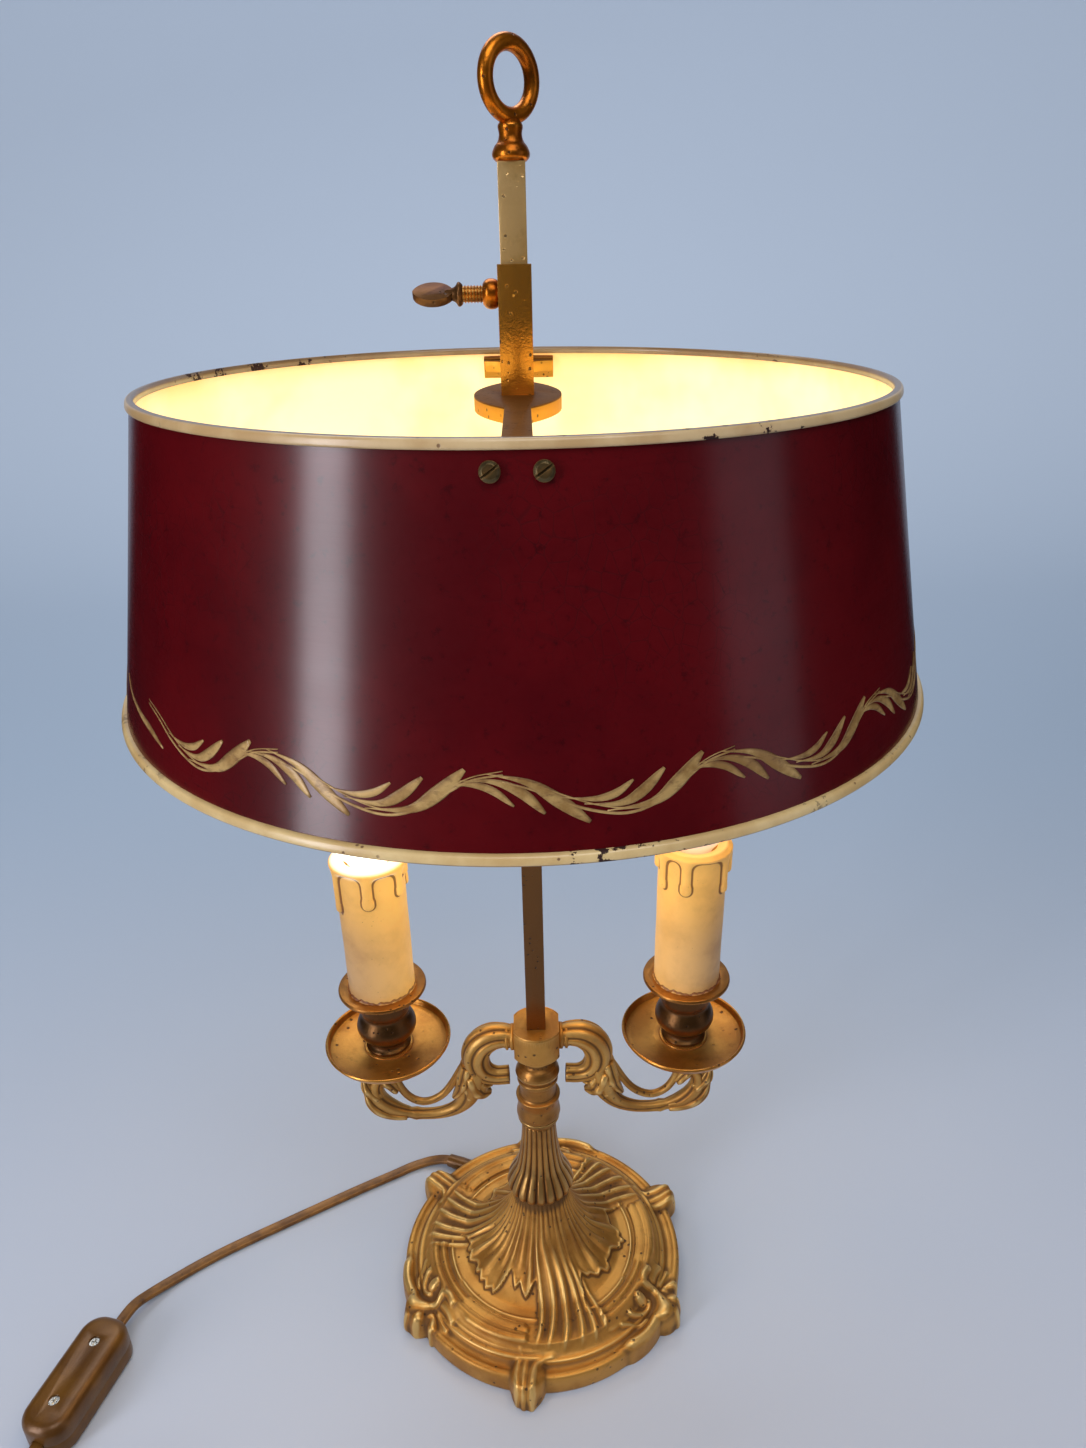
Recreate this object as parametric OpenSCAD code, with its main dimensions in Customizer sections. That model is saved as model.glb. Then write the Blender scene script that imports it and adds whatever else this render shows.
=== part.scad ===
// Two-light bouillotte lamp: rocaille base, fluted stem, scroll arms, square rod,
// sliding tole shade held by a thumbscrew, and a flat flex with an inline switch.
// +X runs along the arms, +Z is up, the origin is the middle of the base on the table.

/* [Base] */
// Radius of the upright rim of the base
base_r = 75; // [72:1:84]
// Height of the upright rim
rim_h = 12; // [10:0.5:14]
// Wall thickness of the hollow casting
base_wall = 4; // [3:0.5:5]
// Radius of the crest of the ring moulding
ring_r = 57; // [55:0.5:60]
// Height of the crest of the ring moulding
ring_z = 20; // [19:0.5:22]
// Height of the flat field inside the ring moulding
field_z = 18; // [17:0.5:18.5]
// Radius where the fluted cone starts to rise out of the field
cone_foot_r = 42; // [38:0.5:46]
// Radius of the top of the fluted cone
cone_top_r = 13.5; // [12:0.5:15]
// Height of the top of the fluted cone
cone_top_z = 62; // [60:0.5:66]
// Number of ribs round the cone
cone_ribs = 40; // [30:2:48]
// Depth of the ribs of the cone
rib_depth = 1.1; // [0.5:0.1:1.5]
// How far each foot stands out beyond the rim
foot_reach = 7; // [4:0.5:9]
// Angle from +X to the first of the six feet
foot_turn = 27; // [0:1:59]
// Thickness of the felt under the base
felt_t = 1.2; // [0.8:0.1:2]

/* [Stem] */
// Radius of the threaded tie tube that clamps the stem together
tie_r = 5; // [4.5:0.1:5.5]
// Radius of the wire way through the tie tube
tie_bore_r = 3.4; // [2.5:0.1:3.8]
// Gap between the tie tube and what it passes through
tie_gap = 0.08; // [0.05:0.01:0.2]
// Thickness of the tie nut
nut_h = 5; // [4:0.5:6]
// Width of the tie nut over its flats
nut_af = 15; // [14:0.5:17]
// Thickness of the washer under the base casting
washer_t = 1.5; // [1:0.1:2]
// Height of the fluted trumpet
trumpet_h = 46; // [42:0.5:50]
// Largest radius of the trumpet, at its skirt
trumpet_r = 17.5; // [16:0.5:19]
// Radius of the trumpet at its neck
trumpet_neck_r = 8.4; // [7.5:0.1:9]
// Number of flutes round the trumpet
flutes = 20; // [16:1:24]
// Depth of a flute at the skirt
flute_depth = 1.3; // [0.5:0.1:1.6]
// Height of the turned barrel between the trumpet and the hub
barrel_h = 41; // [38:0.5:45]
// Largest radius of the turned barrel
barrel_r = 10.9; // [10:0.1:12]
// Radius of the round hub that carries the arms
hub_r = 13; // [12.5:0.1:15]
// Half the width of the hub over the flats that the arms seat on
hub_flat = 10.9; // [10.5:0.1:12]
// Height of the drum of the hub
hub_h = 15; // [14:0.5:18]
// Height of the cone between the barrel and the drum
hub_cone_h = 6; // [5:0.5:9]

/* [Rod and finial] */
// Width of the square rod
rod_w = 9; // [8:0.1:9.5]
// Length of the rod between the hub and the finial
rod_len = 358; // [330:1:380]
// Radius of the threaded ends of the rod
stud_r = 3; // [2.5:0.1:3.4]
// Length of each threaded end
stud_len = 4; // [3:0.5:5]
// Clearance of a thread in its tapped hole
thread_gap = 0.05; // [0.02:0.01:0.1]
// Radius of the bead under the finial
bead_r = 6.1; // [5.5:0.1:7]
// Height of the bead and waist under the ring
finial_foot_h = 10; // [8:0.5:12]
// Radius from the middle of the finial ring to the middle of its wire
finial_ring_r = 9.7; // [8.5:0.1:11]
// Radius of the wire of the finial ring
finial_wire_r = 2.5; // [2:0.1:3]
// Turn of the finial ring about the rod
finial_turn = 42; // [0:1:89]

/* [Arms and lights] */
// Distance of each candle from the rod
arm_reach = 71.5; // [68:0.5:76]
// Height of the top of each arm, which the drip pan rests on
arm_top_z = 159; // [156:0.5:162]
// Radius of the wire of the thin upper strand of an arm
strand_r = 2; // [1.6:0.1:2.4]
// Radius of each drip pan
pan_r = 30; // [27:0.5:33]
// Height of a drip pan from its underside to its rim
pan_h = 6.5; // [5:0.5:8]
// Wall of a drip pan
pan_t = 1.6; // [1.2:0.1:2]
// Radius of the flange of each candle cup
cup_r = 20.4; // [18:0.1:22]
// Height of each candle cup
cup_h = 36; // [33:0.5:40]
// Radius of the bulge of each candle cup
cup_bulge_r = 14; // [13:0.5:15]
// Radius of the nipple that holds pan, cup and lampholder
nipple_r = 4; // [3.5:0.1:4.5]
// Gap between the nipple and what it passes through
nipple_gap = 0.08; // [0.05:0.01:0.2]
// Outer radius of the candle sleeve
sleeve_r = 15.2; // [14:0.1:16]
// Wall of the candle sleeve
sleeve_t = 1.4; // [1:0.1:1.8]
// Height of the candle sleeve
sleeve_h = 66; // [60:0.5:75]
// Outer radius of the lampholder
holder_r = 12; // [11:0.1:12.6]
// Length of the lampholder
holder_h = 36; // [30:0.5:40]
// Radius of the screw cap of the bulb
cap_r = 6.9; // [6.8:0.05:7]
// Gap between the bulb cap and the lampholder
cap_gap = 0.2; // [0.1:0.05:0.4]
// Length of the screw cap of the bulb
cap_h = 22; // [20:0.5:24]
// Largest radius of the glass of the bulb
bulb_r = 17.5; // [15:0.5:18]
// Length of the glass of the bulb
bulb_h = 74; // [65:1:78]

/* [Shade] */
// Height of the bottom edge of the shade above the table
shade_z = 355.5; // [345:0.5:365]
// Height of the shade over both rims
shade_h = 108.5; // [100:0.5:115]
// Outer radius of the shade wall at its bottom edge
shade_low_r = 149; // [140:1:155]
// Outer radius of the shade wall at its top edge
shade_top_r = 128.5; // [122:0.5:134]
// Thickness of the sheet metal of the shade
shade_t = 0.9; // [0.6:0.1:1.2]
// Radius of the rolled bead along each edge of the shade
rim_bead_r = 2.2; // [1.8:0.1:2.6]
// Depth of the bracket below the top edge of the shade
bracket_drop = 6.5; // [5.5:0.5:9]
// Thickness of the bracket
bracket_t = 5; // [4:0.5:6]
// Width of the oval middle of the bracket
bracket_oval_w = 31; // [28:0.5:36]
// Length of the oval middle of the bracket
bracket_oval_l = 84; // [70:1:100]
// Width of the straps of the bracket
strap_w = 8.6; // [7:0.1:10]
// Width of the bolted foot at each end of the bracket
foot_plate_w = 32; // [30:0.5:36]
// Height of the bolted foot at each end of the bracket
foot_plate_h = 9; // [8:0.5:11]
// Thickness of the bolted foot
foot_plate_t = 4; // [3:0.5:5]
// Distance between the two screws of one foot
screw_pitch = 13.2; // [11:0.1:16]
// Radius of the screw heads on the shade
screw_head_r = 2.7; // [2.4:0.1:3.2]
// Radius of the screw shanks
screw_r = 1.5; // [1.25:0.05:1.75]
// Outer width of the square tube that slides on the rod
slider_w = 11.4; // [11.2:0.1:12.4]
// Sliding gap between the tube and each face of the rod
slide_gap = 0.1; // [0.08:0.01:0.2]
// Height of the slider tube above the bracket
slider_h = 41; // [36:0.5:46]

/* [Thumbscrew] */
// Radius of the thumbscrew thread
thumb_r = 2.5; // [2:0.1:3]
// Height of the thumbscrew above the bottom of the slider tube
thumb_up = 37; // [28:0.5:39]
// Length of the bead that the thumbscrew runs in
boss_len = 5.2; // [4:0.1:6]
// Radius of the bead that the thumbscrew runs in
boss_r = 4.8; // [4.2:0.1:5.2]
// Length of thread in sight between the bead and the collar
thread_len = 6.8; // [5:0.1:8]
// Length of the oval paddle
paddle_len = 14; // [12:0.5:16]
// Width of the oval paddle
paddle_w = 11; // [9:0.5:13]
// Thickness of the paddle
paddle_t = 2.6; // [2:0.1:3.4]

/* [Flex and switch] */
// Width of the flat flex
flex_w = 6; // [5:0.1:6.2]
// Height of the flat flex
flex_h = 3.8; // [3.2:0.1:4.4]
// Length of the inline switch
switch_l = 60; // [56:0.5:64]
// Width of the inline switch
switch_w = 25; // [23:0.5:28]
// Height of the inline switch
switch_h = 19; // [17:0.5:21]
// Height of the parting line of the two switch shells above its underside
switch_split = 8; // [6:0.5:9]
// Wall of the switch shells
switch_wall = 1.8; // [1.4:0.1:2.2]
// Distance between the two switch screws
switch_screw_pitch = 30; // [26:0.5:34]
// Length of the rocker
rocker_l = 17; // [15:0.5:19]
// Width of the rocker
rocker_w = 9; // [8:0.5:10]
// Swing of the rocker between off and on
rocker_swing = 12; // [8:1:14]
// Mean radius of the stored coil of flex
coil_r = 36; // [33:0.5:38]
// Turns side by side in the stored coil
coil_wide = 4; // [3:1:4]
// Layers in the stored coil
coil_high = 2; // [2:1:4]
// Length of the body of the plug
plug_l = 34; // [30:0.5:38]
// Wall of the bushing round the flex
bushing_t = 1; // [0.8:0.1:1.4]
// Length of the bushing outside the rim
bushing_out = 14; // [10:1:14]
// Gap between the flex and the holes it passes through
flex_gap = 0.2; // [0.1:0.05:0.3]
// Length of the plug pins
pin_l = 19; // [18:0.5:19.5]
// Distance between the plug pins
pin_pitch = 18.6; // [17.5:0.1:19.2]

/* [Hidden] */

brass = "#a9762f";
bronze = "#6b4a20";
gilt = "#b88a3a";
steel = "#9b9b9b";
cream = "#e0cb93";
tole_red = "#4a0508";
opal = "#f6ead0";
flex_brown = "#6d4a1e";
black = "#1c1a18";

feet = 6;                      // feet under the base
skin_steps = 120;              // facets round the base skin
seat_z = cone_top_z;           // the trumpet stands on the cone
trumpet_top = seat_z + trumpet_h;
barrel_top = trumpet_top + barrel_h;
hub_top = barrel_top + hub_cone_h + hub_h;
arm_axis_z = hub_top - hub_h / 2;
rod_top = hub_top + rod_len;
finial_z = rod_top + finial_foot_h + finial_ring_r + finial_wire_r;
boss_depth = 12;               // depth of solid metal round the tie tube in the cone
foot_width = 18;               // angle that a foot of the base takes
tie_top = barrel_top + 5;
tie_foot = seat_z - boss_depth - washer_t - nut_h - 3;
wire_r = 0.35 * tie_bore_r;
wire_y = 0.41 * tie_bore_r;    // each of the two wires lies this far from the middle
wire_low = tie_foot - 6;       // where the wires leave the tie tube and spread
block_x = 0.524 * cone_foot_r; // middle of the terminal block
block_z = felt_t + 5.4;        // height of its wire ways
spigot_r = 4;                  // screwed joint between arm and hub
spigot_len = 5;
pan_z = arm_top_z;
cup_z = pan_z + pan_t + 0.8;   // the cup stands on the step in the pan
sleeve_z = cup_z + cup_h - 1.2;
sleeve_top = sleeve_z + sleeve_h;
holder_z = sleeve_top - holder_h - 3;
bulb_z = holder_z + holder_h - 1;
shade_top = shade_z + shade_h;
wall_z0 = shade_z + rim_bead_r;
wall_z1 = shade_top - rim_bead_r;
wall_tilt = atan((shade_low_r - shade_top_r) / (wall_z1 - wall_z0));
bracket_top = shade_top - bracket_drop;
plate_mid = bracket_top - bracket_t / 2;
wall_gap = 0.1;                // between the bracket's feet and the shade wall
slider_bore = rod_w + 2 * slide_gap;
slider_z = bracket_top - bracket_t;
thumb_z = bracket_top + thumb_up - bracket_t;
boss_x = slider_w / 2 + boss_len;
collar_x = boss_x + thread_len;
switch_at = [-229, -66, 1.2];
switch_heading = 254;
rocker_z = switch_wall + 1.2;  // height of the rocker's pin above the underside
coil_at = [-200, -152];
coil_h = coil_high * flex_h + 0.2;
plug_at = [-142, -197, 7.2];
bushing_turn = 125;            // where the flex leaves the rim, from +X
bushing_heading = 155;         // which way it leaves
bushing_at = [base_r * cos(bushing_turn), base_r * sin(bushing_turn), 5.6];

// Middle line of the flex from the terminal block through the bushing into the switch
lamp_route = [[22, 10.4, 5.4], [22, 17, 5.4], [19, 28, 5.4], [9, 38, 5.4], [-6, 44.4, 5.5],
              [-20, 50.8, 5.6], [-34.8, 57.7, 5.6], [-43, 61.5, 5.6], [-51, 65.2, 5.6],
              [-56.2, 67.6, 5.4], [-61, 69.2, 4.4], [-67, 69.8, 3], [-73, 68.8, 2.1],
              [-80, 66, 2], [-90, 60.6, 2], [-104, 53.4, 2], [-122, 43.6, 2], [-141, 33, 2],
              [-160, 22.4, 2], [-178, 12, 2], [-191, 3.4, 2], [-202, -5.4, 2.6],
              [-211, -14.6, 4.6], [-216.5, -23, 7.4], [-219.3, -32, 9.1],
              [-221.8, -41, 9.2]];
// Middle line of the flex from the switch to the coil
tail_route = [[-236.2, -91, 9.2], [-238.7, -99.8, 9.1], [-241.6, -109, 6.6],
              [-243.8, -119, 3.4], [-244.8, -131, 2.1], [-245, -141, 2]];
// Middle line of the flex from the coil to the plug
lead_route = [[-192, -197, 5.9], [-186, -197, 6], [-180, -197, 6.5], [-173.5, -197, 7.1],
              [-167.1, -197, 7.2]];

// Points of a smooth curve through p, with n steps between neighbours
function blend(a, b, c, d, t) =
    0.5 * (2 * b + (c - a) * t + (2 * a - 5 * b + 4 * c - d) * t * t
           + (3 * b - a - 3 * c + d) * t * t * t);
function smooth(p, n = 4) = let (m = len(p) - 1)
    [for (i = [0:m - 1]) for (k = [0:n - 1])
        blend(p[max(i - 1, 0)], p[i], p[i + 1], p[min(i + 2, m)], k / n), p[m]];
function unit(v) = v / norm(v);
function along(p, i) = unit(p[min(i + 1, len(p) - 1)] - p[max(i - 1, 0)]);
// One end is shared by the side faces and the caps of a skin of rings
function skin_faces(rings, s) = concat(
    [[for (k = [0:s - 1]) k]],
    [for (i = [0:rings - 2]) for (k = [0:s - 1]) let (n = (k + 1) % s)
        [i * s + k, (i + 1) * s + k, (i + 1) * s + n, i * s + n]],
    [[for (k = [s - 1:-1:0]) (rings - 1) * s + k]]);

// A rod of round or lobed section swept along p; side is square to the whole path
module swept(p, r, s = 12, side = [0, 1, 0], flat = 1, lobes = 0, depth = 0) {
    pts = [for (i = [0:len(p) - 1]) for (k = [0:s - 1])
        let (t = along(p, i), up = unit(cross(t, side)), q = 360 * k / s,
             ri = (is_num(r) ? r : r[i]) * (1 + depth * cos(lobes * q)))
        p[i] + ri * (cos(q) * flat * side + sin(q) * up)];
    polyhedron(pts, skin_faces(len(p), s), convexity = 6);
}

// A turned piece with a bore: outline is a list of [radius, height]
module turned(outline, bore = 0, n = 4) {
    line = smooth(outline, n);
    rotate_extrude($fn = 96)
        polygon(concat([[bore, line[0][1]]], line, [[bore, line[len(line) - 1][1]]]));
}
module tube(r, bore, h) {
    difference() {
        cylinder(r = r, h = h, $fn = 64);
        translate([0, 0, -1]) cylinder(r = bore, h = h + 2, $fn = 64);
    }
}
// Puts its children on the candle axis: side is -1 on the left and 1 on the right
module at_light(side, z) {
    translate([side * arm_reach, 0, z]) children();
}
module at_switch() {
    translate(switch_at) rotate([0, 0, switch_heading]) children();
}

// ---- base ----
// Swell of the skin at each foot, 0 between the feet and 1 on a foot
function foot_swell(a) = let (step = 360 / feet, turn = (a - foot_turn + 1.5 * step) % step,
                              d = abs((turn + step) % step - step / 2))
    d < foot_width / 2 ? pow(cos(d * 180 / foot_width), 2) : 0;
// Rings of the fluted cone: radius, height, share of the rib
function cone_rings() = [
    [cone_foot_r, field_z + 2.4, 0.5],
    [cone_foot_r * 0.79, field_z + 7, 0.9],
    [cone_foot_r * 0.68, field_z + 10.6, 1],
    [cone_foot_r * 0.6, field_z + 14, 1],
    [cone_foot_r * 0.52, field_z + 19, 1],
    [cone_top_r + 5.5, field_z + 24, 1],
    [cone_top_r + 3.2, field_z + 29.5, 1],
    [cone_top_r + 1.6, field_z + 35, 1],
    [cone_top_r + 0.5, cone_top_z - 4, 0.8],
    [cone_top_r, cone_top_z, 0.3]];
// Rings of the base skin: radius, height, share of the rib and share of the foot
function base_rings() = concat([
    [base_r - 0.6, 0, 0, 1],
    [base_r + 0.2, 2, 0, 1.1],
    [base_r + 0.2, rim_h * 0.55, 0, 1],
    [base_r, rim_h - 1.6, 0, 0.8],
    [base_r - 1.6, rim_h, 0, 0.5],
    [base_r - 4.2, rim_h - 0.2, 0, 0.2],
    [base_r - 6.5, rim_h - 1, 0, 0],
    [(base_r + ring_r) / 2, rim_h + 0.8, 0, 0],
    [ring_r + 4, ring_z - 2.4, 0, 0],
    [ring_r + 2.6, ring_z - 0.5, 0, 0],
    [ring_r + 1.2, ring_z, 0, 0],
    [ring_r - 0.2, ring_z - 0.5, 0, 0],
    [ring_r - 1, ring_z - 1.3, 0, 0],
    [ring_r - 1.8, ring_z - 0.7, 0, 0],
    [ring_r - 3, ring_z - 0.3, 0, 0],
    [ring_r - 4.2, ring_z - 0.9, 0, 0],
    [ring_r - 5, field_z, 0, 0],
    [(ring_r + cone_foot_r) / 2 - 1, field_z, 0, 0]],
    [for (g = cone_rings()) [g[0], g[1], g[2], 0]]);
module base_skin() {
    rings = base_rings();
    pts = [for (g = rings) for (k = [0:skin_steps - 1])
        let (a = 360 * k / skin_steps, rib = rib_depth * g[2] * cos(cone_ribs * a),
             r = g[0] + rib * 0.7 + foot_reach * g[3] * foot_swell(a))
        [r * cos(a), r * sin(a), g[1] + (g[2] > 0.3 ? rib * 0.5 : 0)]];
    polyhedron(pts, skin_faces(len(rings), skin_steps), convexity = 8);
}
module base_hollow() {
    inner = base_r - base_wall - 1;
    top = seat_z - boss_depth;
    cone = [for (g = cone_rings()) if (g[1] - 0.7 * base_wall < top - 1)
        [g[0] - 0.6 * base_wall, g[1] - 0.7 * base_wall]];
    rotate_extrude($fn = 96) polygon(concat(
        [[0, -1], [inner, -1], [inner, rim_h - base_wall], [ring_r - 3, field_z - base_wall - 0.4]],
        cone, [[cone[len(cone) - 1][0], top], [0, top]]));
}
module base_casting() {
    color(gilt) difference() {
        base_skin();
        base_hollow();
        translate([0, 0, seat_z - boss_depth - 1])
            cylinder(r = tie_r + tie_gap, h = boss_depth + 2, $fn = 64);
        at_bushing() translate([0, 0, -9])
            cylinder(r = flex_w / 2 + flex_gap + bushing_t + 0.1, h = 40, $fn = 48);
    }
}
module base_felt() {
    color("#3a4a36") tube(base_r - base_wall - 1.4, nut_af, felt_t);
}
module at_bushing() {
    translate(bushing_at) rotate([0, 0, bushing_heading]) rotate([0, 90, 0]) children();
}
module cord_bushing() {
    // grommet through the rim with a short tapered sleeve for the flex
    r = flex_w / 2 + flex_gap + bushing_t;
    color(black) at_bushing() difference() {
        union() {
            translate([0, 0, -8]) cylinder(r = r, h = 14, $fn = 48);
            translate([0, 0, 6]) cylinder(r1 = r, r2 = r - 0.5, h = bushing_out - 6, $fn = 48);
        }
        translate([0, 0, -9]) cylinder(r = r - bushing_t, h = bushing_out + 10, $fn = 48);
    }
}
module terminal_block() {
    color(opal) translate([block_x, 0, felt_t + 0.2]) difference() {
        translate([-6, -10, 0]) cube([12, 20, 9]);
        for (y = [-5, 5]) translate([0, y, 3]) cylinder(r = 1.8, h = 8, $fn = 32);
    }
}
module riser_wires() {
    // two insulated wires side by side in the tie tube, down to the terminal block
    color("#8c6a3a") for (y = [-wire_y, wire_y]) translate([0, y, 0]) {
        translate([0, 0, wire_low]) cylinder(r = wire_r, h = tie_top - wire_low - 2, $fn = 32);
        translate([0, 0, block_z]) rotate([0, 90, 0]) cylinder(r = wire_r, h = block_x - 6.1, $fn = 32);
        translate([0, 0, block_z]) cylinder(r = wire_r, h = wire_low - block_z, $fn = 32);
        translate([0, 0, block_z]) sphere(r = wire_r, $fn = 32);
    }
}

// ---- stem ----
module tie_tube() {
    color(steel) translate([0, 0, tie_foot]) tube(tie_r, tie_bore_r, tie_top - tie_foot);
}
module tie_washer() {
    color(steel) translate([0, 0, seat_z - boss_depth - washer_t])
        tube(nut_af / 2 + 1, tie_r + tie_gap, washer_t);
}
module tie_nut() {
    color(steel) translate([0, 0, seat_z - boss_depth - washer_t - nut_h]) difference() {
        cylinder(r = nut_af / 2 / cos(30), h = nut_h, $fn = 6);
        translate([0, 0, -1]) cylinder(r = tie_r + thread_gap, h = nut_h + 2, $fn = 64);
    }
}
// Rings of the trumpet: radius, height above its seat and share of the flute depth
function trumpet_rings() = [
    [trumpet_r * 0.78, 0, 0.2],
    [trumpet_r * 0.93, 1.2, 0.8],
    [trumpet_r, 3.8, 1],
    [trumpet_r * 0.98, 6, 1],
    [trumpet_r * 0.9, 8.8, 0.9],
    [trumpet_r * 0.81, 12, 0.8],
    [trumpet_neck_r + 3.6, trumpet_h * 0.36, 0.7],
    [trumpet_neck_r + 1.8, trumpet_h * 0.54, 0.6],
    [trumpet_neck_r + 0.6, trumpet_h * 0.77, 0.5],
    [trumpet_neck_r, trumpet_h, 0.4]];
module fluted_trumpet() {
    steps = flutes * 6;
    rings = trumpet_rings();
    pts = [for (g = rings) for (k = [0:steps - 1])
        let (a = 360 * k / steps,
             r = g[0] - flute_depth * g[2] * (1 - abs(cos(flutes * a / 2))))
        [r * cos(a), r * sin(a), g[1]]];
    color(gilt) translate([0, 0, seat_z]) difference() {
        polyhedron(pts, skin_faces(len(rings), steps), convexity = 8);
        translate([0, 0, -1]) cylinder(r = tie_r + tie_gap, h = trumpet_h + 2, $fn = 64);
    }
}
module stem_barrel() {
    h = barrel_h;
    color(brass) translate([0, 0, trumpet_top]) turned([
        [barrel_r * 0.8, 0], [barrel_r * 0.82, 1.6], [barrel_r * 0.95, 2.4],
        [barrel_r * 0.95, 4], [barrel_r * 0.9, 4.6], [barrel_r, 5.8], [barrel_r, 8],
        [barrel_r * 0.93, 12.5], [barrel_r, 17], [barrel_r, 18.2], [barrel_r * 0.83, 19.4],
        [barrel_r * 0.82, h - 14.4], [barrel_r * 0.92, h - 13.6], [barrel_r * 0.92, h - 12],
        [barrel_r * 0.86, h - 11.2], [barrel_r, h - 8], [barrel_r * 0.86, h - 4],
        [barrel_r * 0.66, h - 1.8], [barrel_r * 0.66, h]], tie_r + tie_gap, 3);
}
module arm_hub() {
    drum_z = hub_cone_h;
    color(brass) translate([0, 0, barrel_top]) difference() {
        intersection() {
            turned([[7.4, 0], [7, 2.6], [8.6, drum_z - 1.6], [hub_r - 0.8, drum_z],
                    [hub_r, drum_z + 0.8], [hub_r, drum_z + hub_h - 0.8],
                    [hub_r - 0.8, drum_z + hub_h]], 0, 2);
            translate([-hub_flat, -hub_r - 1, -1])
                cube([2 * hub_flat, 2 * hub_r + 2, drum_z + hub_h + 2]);
        }
        translate([0, 0, -1]) cylinder(r = tie_r + tie_gap, h = hub_top - barrel_top - stud_len, $fn = 64);
        cylinder(r = stud_r + thread_gap, h = drum_z + hub_h + 1, $fn = 48);
        translate([-hub_r - 1, 0, arm_axis_z - barrel_top]) rotate([0, 90, 0])
            cylinder(r = spigot_r + thread_gap, h = 2 * hub_r + 2, $fn = 48);
    }
}
module main_rod() {
    color(brass) {
        translate([-rod_w / 2, -rod_w / 2, hub_top]) cube([rod_w, rod_w, rod_len]);
        translate([0, 0, hub_top - stud_len]) cylinder(r = stud_r, h = stud_len + 1, $fn = 48);
        translate([0, 0, rod_top - 1]) cylinder(r = stud_r, h = stud_len + 1, $fn = 48);
    }
}
module ring_finial() {
    color(brass) difference() {
        union() {
            translate([0, 0, rod_top]) turned([
                [bead_r - 1.2, 0], [bead_r - 0.2, 1], [bead_r, 2.4], [bead_r - 0.8, 4.2],
                [4.2, 5.6], [3.7, 7.6], [4, finial_foot_h], [2.2, finial_foot_h + 2]], 0);
            translate([0, 0, finial_z]) rotate([0, 0, finial_turn]) rotate([90, 0, 0])
                rotate_extrude($fn = 96) translate([finial_ring_r, 0])
                    circle(r = finial_wire_r, $fn = 48);
        }
        translate([0, 0, rod_top - 1]) cylinder(r = stud_r + thread_gap, h = stud_len + 1.2, $fn = 48);
    }
}

// ---- arms and lights ----
// Middle lines of the right arm in x and z, measured from the hub
scroll_path = smooth([[12.5, 162.8], [17, 163.6], [22.4, 162.8], [27.4, 159], [30, 152.6],
                      [29.4, 145.8], [26, 140.6], [20.6, 138.2], [14, 138.4]], 3);
scroll_r = smooth([5.6, 6.2, 6.9, 7.3, 7.2, 6.6, 5.6, 4.8, 4.6], 3);
lower_path = smooth([[29, 148], [31.6, 136], [34.6, 126], [40, 118.6], [48, 114.8],
                     [57, 114], [66, 115.4], [74, 119.4], [79.6, 126], [80.4, 134],
                     [76.6, 142], [72, 149]], 3);
lower_r = smooth([4, 6.6, 5.4, 3.8, 3.1, 2.9, 3.2, 4.2, 4.4, 3.8, 3.6, 3.4], 3);
upper_path = smooth([[33, 151], [37.6, 143], [42.6, 133.6], [47.4, 127], [53, 123.2],
                     [58.6, 122.4], [64, 125.4], [68, 131.6], [70.4, 140], [71.5, 149]], 3);
leaf_path = smooth([[33, 140], [30.6, 133], [27.4, 128.6], [23.6, 127.6]], 3);
leaf_r = smooth([4.6, 5.6, 4.2, 1.2], 3);
drawn_reach = 71.5;   // reach and axis height at which the paths above are drawn
drawn_axis = 162.5;
arm_scale = arm_reach / drawn_reach;
function lifted(p) =
    [for (q = p) [q[0] * arm_scale, 0, arm_axis_z + (q[1] - drawn_axis) * arm_scale]];
function scaled(r) = [for (v = r) v * arm_scale];
module arm(side) {
    boss_z = arm_top_z - 13;
    color(gilt) mirror([side < 0 ? 1 : 0, 0, 0]) difference() {
        union() {
            translate([hub_flat, 0, arm_axis_z]) rotate([0, 90, 0]) {
                cylinder(r = 5.2, h = 5, $fn = 48);
                cylinder(r = 6.4, h = 1.6, $fn = 48);
                translate([0, 0, 2.6]) cylinder(r = 6.2, h = 1.4, $fn = 48);
                translate([0, 0, -spigot_len]) cylinder(r = spigot_r, h = spigot_len, $fn = 48);
            }
            swept(lifted(scroll_path), scaled(scroll_r), s = 24, lobes = 8, depth = 0.07);
            swept(lifted(lower_path), scaled(lower_r), s = 12);
            swept(lifted(upper_path), strand_r, s = 10);
            swept(lifted(leaf_path), scaled(leaf_r), s = 12, flat = 1.4);
            translate([arm_reach, 0, boss_z]) turned([
                [3.4, 0], [5.4, 2], [6.6, 5], [5.2, 8.4], [6.4, 10.6], [8.4, 13]], 0, 3);
        }
        translate([arm_reach, 0, boss_z + 2])
            cylinder(r = nipple_r + nipple_gap, h = 12, $fn = 48);
    }
}
module nipple(side) {
    low = arm_top_z - 10.9;
    color(steel) at_light(side, low) tube(nipple_r, nipple_r - 1.4, holder_z + 3 - low);
}
module drip_pan(side) {
    color(brass) at_light(side, pan_z) rotate_extrude($fn = 96) polygon(concat(
        [[nipple_r + nipple_gap, 0], [pan_r * 0.5, 0]],
        smooth([[pan_r * 0.86, 0.9], [pan_r - 1.6, pan_h * 0.45], [pan_r - 0.4, pan_h - 1.6],
                [pan_r, pan_h - 0.8], [pan_r - 0.6, pan_h]], 2),
        [[pan_r - 1.4, pan_h - 0.6]],
        smooth([[pan_r - 2.2, pan_h * 0.55], [pan_r * 0.84, pan_t + 1]], 2),
        [[pan_r * 0.5, pan_t + 0.1], [11.6, pan_t], [11.4, pan_t + 0.8],
         [nipple_r + nipple_gap, pan_t + 0.8]]));
}
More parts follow.
